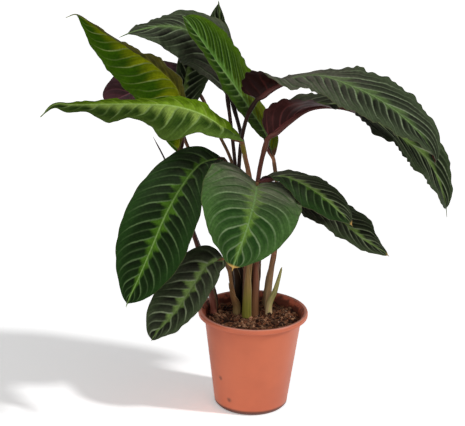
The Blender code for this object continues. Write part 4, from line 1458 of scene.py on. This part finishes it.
def add_crumb(shape, rng, place, size, flat, tone):
    """Add one lumpy crumb: a ball of few faces, pushed out of round and laid flat."""
    turn = Matrix.Rotation(rng.uniform(0, 6.28), 3, "Z")
    turn = turn @ Matrix.Rotation(rng.uniform(-0.7, 0.7), 3, "X")
    wide = rng.uniform(0.7, 1.6)
    deep = rng.uniform(0.6, 1.1)
    stretch = Vector((wide, deep, flat * rng.uniform(0.6, 1.1)))
    rings, sectors = 5, 8
    net = np.empty((rings, sectors, 3))
    for i in range(rings):
        tilt = math.pi * (i + 0.6) / (rings + 0.2)
        for j in range(sectors):
            angle = 2 * math.pi * j / sectors
            out = math.sin(tilt)
            arm = Vector((out * math.cos(angle), out * math.sin(angle), math.cos(tilt)))
            arm = arm * (size * rng.uniform(0.75, 1.15))
            arm = Vector((arm.x * stretch.x, arm.y * stretch.y, arm.z * stretch.z))
            net[i, j] = place + turn @ arm
    shape.add_tube(net[::-1], tone=np.full(net.shape[:2], tone))


def build_crumbs(settings, material):
    """Scatter loose crumbs and chips over the soil."""
    rng = random.Random(settings.seed)
    shape = Shape()
    reach = SOIL_BOX[1].x - 4 * MM
    for _ in range(settings.crumbs):
        size = (0.8 + 2.6 * rng.random() ** 2.2) * MM
        place = scatter_place(rng, settings, reach)
        place.z += size * 0.25
        damp = 0.55 + 0.9 * noise.noise(place * 42)
        tone = min(max(rng.random() * damp * 1.3, 0), 1)
        add_crumb(shape, rng, place, size, rng.choice((0.5, 0.9)), tone)
    return shape.finish("soil_crumbs", [material])


def build_fibres(settings, material):
    """Scatter bent coir fibres over the soil."""
    rng = random.Random(settings.seed + 1)
    shape = Shape()
    reach = SOIL_BOX[1].x - 10 * MM
    angles = np.linspace(0, 2 * math.pi, 5, endpoint=False)
    for _ in range(settings.fibres):
        middle = scatter_place(rng, settings, reach)
        heading = compass(rng.uniform(0, 360))
        length = rng.uniform(5, 15) * MM
        bend = rng.uniform(-0.35, 0.35)
        radius = rng.uniform(0.18, 0.42) * MM
        steps = np.linspace(-0.5, 0.5, 8)
        cross = np.array([-heading[1], heading[0], 0])
        route = np.array(middle) + heading * (steps * length)[:, None]
        route = route + cross * (steps**2 * length * bend * 2)[:, None]
        route[:, 2] = [
            soil_height(x, y, settings) + rng.uniform(0.4, 1.6) * MM for x, y, _ in route]
        sides, ups = carried_frame(route, cross)
        thin = radius * np.sqrt(np.clip(1 - (2 * steps) ** 4, 0.05, 1))
        rings = ring_net(route, sides, ups, thin[:, None], angles)
        shape.add_tube(rings, tone=np.full(rings.shape[:2], rng.random()))
    return shape.finish("soil_fibres", [material])


def build_grains(settings, material):
    """Lay a few pale grains on the soil."""
    rng = random.Random(settings.seed + 2)
    shape = Shape()
    spots = [LARGE_GRAIN]
    for _ in range(settings.grains - 1):
        place = scatter_place(rng, settings, SOIL_BOX[1].x - 10 * MM)
        spots.append((place.x, place.y, rng.uniform(0.8, 1.3) * MM))
    for x, y, size in spots:
        place = Vector((x, y, soil_height(x, y, settings) + 1.2 * MM))
        add_crumb(shape, rng, place, size, 0.8, rng.random())
    return shape.finish("soil_grains", [material])


def soil_material(settings):
    """Damp, grainy soil."""
    paint = Paint("soil_damp", Specular_IOR_Level=0.25)
    place = paint.place()
    coarse = paint.noise(place, 160, 5, 0.65)
    fine = paint.noise(place, 900, 3, 0.6)
    colour = paint.mix(paint.step(coarse, 0.4, 0.68), settings.dark, settings.brown)
    chips = paint.times(paint.step(fine, 0.6, 0.75), 0.5)
    colour = paint.mix(chips, colour, settings.pale)
    paint.bump(paint.maths("ADD", coarse, paint.times(fine, 0.4)), 1.2 * MM, 0.8)
    return paint.done(colour, 0.9)


def crumb_material(name, low, high):
    """Crumbs or fibres, each with a tone of its own between two colours."""
    paint = Paint(name, Specular_IOR_Level=0.25)
    place = paint.place()
    speck = paint.noise(place, 700, 3, 0.6)
    tone = paint.attribute("tone")
    colour = paint.mix(paint.maths("POWER", tone, 1.6), low, high)
    shaded = paint.mix(paint.step(speck, 0.35, 0.65), (0.5, 0.48, 0.46), (1.25, 1.22, 1.2))
    colour = paint.mix(1.0, colour, shaded, "MULTIPLY")
    paint.bump(speck, 0.5 * MM, 0.7)
    return paint.done(colour, 0.85)


# ---------------------------------------------------------------- stage


def floor_material(settings):
    """A white floor that shows the plant's shadow to the eye and gives back a plain light."""
    paint = Paint("floor_white")
    tree = paint.tree
    seen = 0
    for kind in ("Camera", "Glossy", "Transmission"):
        seen = paint.maths("MAXIMUM", seen, paint.node("LightPath", f"Is {kind} Ray"))
    facing = Vector(FLOOR_FACING).normalized()
    lamp_share = facing @ sun_heading(settings) * settings.sun_strength / math.pi
    whiteness = (FLOOR_LIGHT - settings.floor_shadow) / lamp_share
    glow = paint.node("Emission", inputs={
        "Color": (1.0, 1.0, 1.0), "Strength": settings.floor_shadow - whiteness * SOFT_LIGHT})
    matte = paint.node("BsdfDiffuse", inputs={
        "Color": (whiteness, whiteness, whiteness), "Normal": paint.vector(*facing)})
    both = paint.node("AddShader", inputs={0: glow, 1: matte})
    plain = paint.node("BsdfDiffuse", inputs={"Color": (FLOOR_BOUNCE,) * 3})
    surface = paint.node("MixShader", inputs={0: seen, 1: plain, 2: both})
    tree.links.new(surface, tree.nodes["Material Output"].inputs["Surface"])
    return paint.material


def make_world(settings):
    """White all round for the eye; for the light on the plant, brightest from the front."""
    world = bpy.data.worlds.new("studio")
    world.use_nodes = True
    tree = world.node_tree

    def node(kind, operation, *values):
        made = tree.nodes.new(kind)
        made.operation = operation
        for socket, value in zip(made.inputs, values):
            if isinstance(value, bpy.types.NodeSocket):
                tree.links.new(value, socket)
            else:
                socket.default_value = value
        return made

    heading = tree.nodes.new("ShaderNodeTexCoord").outputs["Generated"]
    front = Vector(settings.world_front).normalized()
    facing = node("ShaderNodeVectorMath", "DOT_PRODUCT", heading, front).outputs["Value"]
    facing = node("ShaderNodeMath", "MAXIMUM", facing, 0).outputs[0]
    facing = node("ShaderNodeMath", "POWER", facing, WORLD_FALLOFF).outputs[0]
    level = node(
        "ShaderNodeMath", "MULTIPLY_ADD", facing, settings.world_high, settings.world_low)
    path = tree.nodes.new("ShaderNodeLightPath")
    seen = node(
        "ShaderNodeMath", "MAXIMUM", path.outputs["Is Camera Ray"],
        path.outputs["Is Transmission Ray"])
    lit = node("ShaderNodeMath", "MAXIMUM", level.outputs[0], seen.outputs[0])
    background = tree.nodes["Background"]
    background.inputs["Color"].default_value = (1, 1, 1, 1)
    tree.links.new(lit.outputs[0], background.inputs["Strength"])
    bpy.context.scene.world = world


def sun_heading(settings):
    """The direction from the plant to the lamp."""
    level = compass(math.degrees(settings.sun_heading)) * math.cos(settings.sun_height)
    return Vector(level) + Vector((0, 0, math.sin(settings.sun_height)))


def make_sun(settings):
    """The one lamp: a soft sun from the right and a little in front."""
    light = bpy.data.lights.new("sun", "SUN")
    light.energy = settings.sun_strength
    light.angle = settings.sun_softness
    sun = bpy.data.objects.new("sun", light)
    bpy.context.scene.collection.objects.link(sun)
    towards = sun_heading(settings)
    sun.rotation_euler = towards.to_track_quat("Z", "Y").to_euler()
    sun.location = towards * 3


def make_camera(settings):
    """The camera: a long lens that looks a little down on the plant."""
    pitch = math.radians(CAMERA_PITCH)
    roll = math.radians(CAMERA_ROLL)
    forward = Vector((0, math.cos(pitch), -math.sin(pitch)))
    level = Vector((1, 0, 0))
    up = level.cross(forward)
    right = level * math.cos(roll) + up * math.sin(roll)
    top = up * math.cos(roll) - level * math.sin(roll)
    data = bpy.data.cameras.new("camera")
    data.lens = settings.lens
    data.sensor_width = SENSOR_WIDTH
    camera = bpy.data.objects.new("camera", data)
    turn = Matrix((right, top, -forward)).transposed()
    camera.matrix_world = Matrix.Translation(CAMERA_PLACE) @ turn.to_4x4()
    bpy.context.scene.collection.objects.link(camera)
    bpy.context.scene.camera = camera


# ---------------------------------------------------------------- operators


class CALATHEA_OT_stage(bpy.types.Operator):
    """Make the floor, the light and the camera"""

    bl_idname = "calathea.stage"
    bl_label = "Stage"

    def execute(self, context):
        settings = context.scene.calathea.stage
        reach = settings.floor_reach
        shape = Shape()
        lines = np.linspace(-reach, reach, 5)
        net = np.array([[(x, y, 0) for x in lines] for y in lines])
        shape.add_grid(net)
        floor = shape.finish("floor", [floor_material(settings)])
        make_world(settings)
        make_sun(settings)
        make_camera(settings)
        context.scene.view_settings.view_transform = "Standard"
        return {"FINISHED"}


class CALATHEA_OT_pot(bpy.types.Operator):
    """Make the grower's pot"""

    bl_idname = "calathea.pot"
    bl_label = "Pot"

    def execute(self, context):
        settings = context.scene.calathea.pot
        pot = turned("grower_pot", rounded(pot_profile(settings)), POT_STEPS)
        cut_drains(pot, settings)
        pot.data.materials.clear()
        pot.data.materials.append(pot_material(settings))
        pot.data.shade_smooth()
        pot.data.set_sharp_from_angle(angle=math.radians(40))
        settle(pot, "pot", "pot")
        return {"FINISHED"}


class CALATHEA_OT_soil(bpy.types.Operator):
    """Make the soil with its crumbs, fibres and pale grains"""

    bl_idname = "calathea.soil"
    bl_label = "Soil"

    def execute(self, context):
        settings = context.scene.calathea.soil
        soil = build_soil(settings, soil_material(settings), context.scene.calathea.pot)
        settle(soil, "soil", "soil")
        crumb = crumb_material("soil_crumb", settings.dark, settings.pale)
        settle(build_crumbs(settings, crumb), "soil")
        fibre = crumb_material("soil_fibre", settings.brown, settings.pale)
        settle(build_fibres(settings, fibre), "soil")
        grain = crumb_material("soil_grain", settings.pale, settings.grain)
        settle(build_grains(settings, grain), "soil")
        return {"FINISHED"}


class CALATHEA_OT_blades(bpy.types.Operator):
    """Make every leaf blade"""

    bl_idname = "calathea.blades"
    bl_label = "Blades"

    def execute(self, context):
        settings = context.scene.calathea.blades
        looks = context.scene.calathea.looks
        rim = rim_material(settings)
        for name, leaf in LEAVES.items():
            blade = Blade(name, leaf, settings)
            top = top_material(name, leaf, settings, looks)
            under = under_material(name, leaf, settings, looks)
            piece = blade.build(settings, [top, under, rim])
            slot = "leaf_bright" if name in BRIGHT_LEAVES else "leaf_dark"
            settle(piece, slot, "leaf_" + name)
        return {"FINISHED"}


class CALATHEA_OT_stalks(bpy.types.Operator):
    """Make every stalk with its sheath and the midrib that it runs out into"""

    bl_idname = "calathea.stalks"
    bl_label = "Stalks"

    def execute(self, context):
        settings = context.scene.calathea.stalks
        blades = context.scene.calathea.blades
        for name, stalk in STALKS.items():
            leaf_name = name.removeprefix("stalk_")
            blade = Blade(leaf_name, LEAVES[leaf_name], blades)
            skin = stalk_material(leaf_name, stalk, settings)
            sheath = sheath_material(leaf_name, stalk, settings)
            piece = build_stalk(
                "stem_" + leaf_name, stalk, blade, settings, blades, [skin, sheath])
            settle(piece, "stalk_" + stalk["slot"], name)
        return {"FINISHED"}


class CALATHEA_OT_shoots(bpy.types.Operator):
    """Make the rolled leaf, the young shoot and the old sheath"""

    bl_idname = "calathea.shoots"
    bl_label = "Shoots"

    def execute(self, context):
        settings = context.scene.calathea.stalks
        rolled = shoot_material(
            "rolled_leaf", settings.rolled, settings.rolled_foot, settings.rolled)
        piece = build_shoot("rolled_blade", SHOOTS["rolled_leaf"], [rolled])
        settle(piece, "stalk_dark", "rolled_leaf")
        young = shoot_material(
            "young_shoot", settings.shoot, settings.shoot_foot, settings.shoot)
        piece = build_shoot("young_spear", SHOOTS["young_shoot"], [young])
        settle(piece, "stalk_light", "young_shoot")
        stump = shoot_material("old_sheath", settings.stump, settings.stump, settings.edge)
        piece = build_stump("dry_stump", SHOOTS["old_sheath"], [stump])
        settle(piece, "stalk_light", "old_sheath")
        return {"FINISHED"}


class CALATHEA_PT_panel(bpy.types.Panel):
    """The plant's pieces, each with its settings"""

    bl_idname = "CALATHEA_PT_panel"
    bl_label = "Potted calathea"
    bl_space_type = "VIEW_3D"
    bl_region_type = "UI"
    bl_category = "Calathea"

    def draw(self, context):
        settings = context.scene.calathea
        looks = {f"{name.capitalize()} look": getattr(settings.looks, name) for name in LOOKS}
        rows = (
            ("calathea.stage", {"Stage": settings.stage}),
            ("calathea.pot", {"Pot": settings.pot}),
            ("calathea.soil", {"Soil": settings.soil}),
            ("calathea.blades", {"Blades": settings.blades, **looks}),
            ("calathea.stalks", {"Stalks and shoots": settings.stalks}),
            ("calathea.shoots", {}),
        )
        for operator, groups in rows:
            box = self.layout.box()
            box.operator(operator)
            for title, group in groups.items():
                box.label(text=title)
                for key in group.__annotations__:
                    box.prop(group, key)


CLASSES = (
    StageSettings,
    PotSettings,
    SoilSettings,
    BladeSettings,
    *LOOK_CLASSES.values(),
    LooksSettings,
    StalkSettings,
    CalatheaSettings,
    CALATHEA_OT_stage,
    CALATHEA_OT_pot,
    CALATHEA_OT_soil,
    CALATHEA_OT_blades,
    CALATHEA_OT_stalks,
    CALATHEA_OT_shoots,
    CALATHEA_PT_panel,
)


def register():
    """Register the classes and the scene's settings."""
    for group in CLASSES:
        bpy.utils.register_class(group)
    bpy.types.Scene.calathea = PointerProperty(type=CalatheaSettings)


def unregister():
    """Take the settings and the classes away again."""
    del bpy.types.Scene.calathea
    for group in reversed(CLASSES):
        bpy.utils.unregister_class(group)


def main():
    """Build everything in order."""
    register()
    bpy.ops.calathea.stage()
    bpy.ops.calathea.pot()
    bpy.ops.calathea.soil()
    bpy.ops.calathea.blades()
    bpy.ops.calathea.stalks()
    bpy.ops.calathea.shoots()


if __name__ == "__main__":
    main()
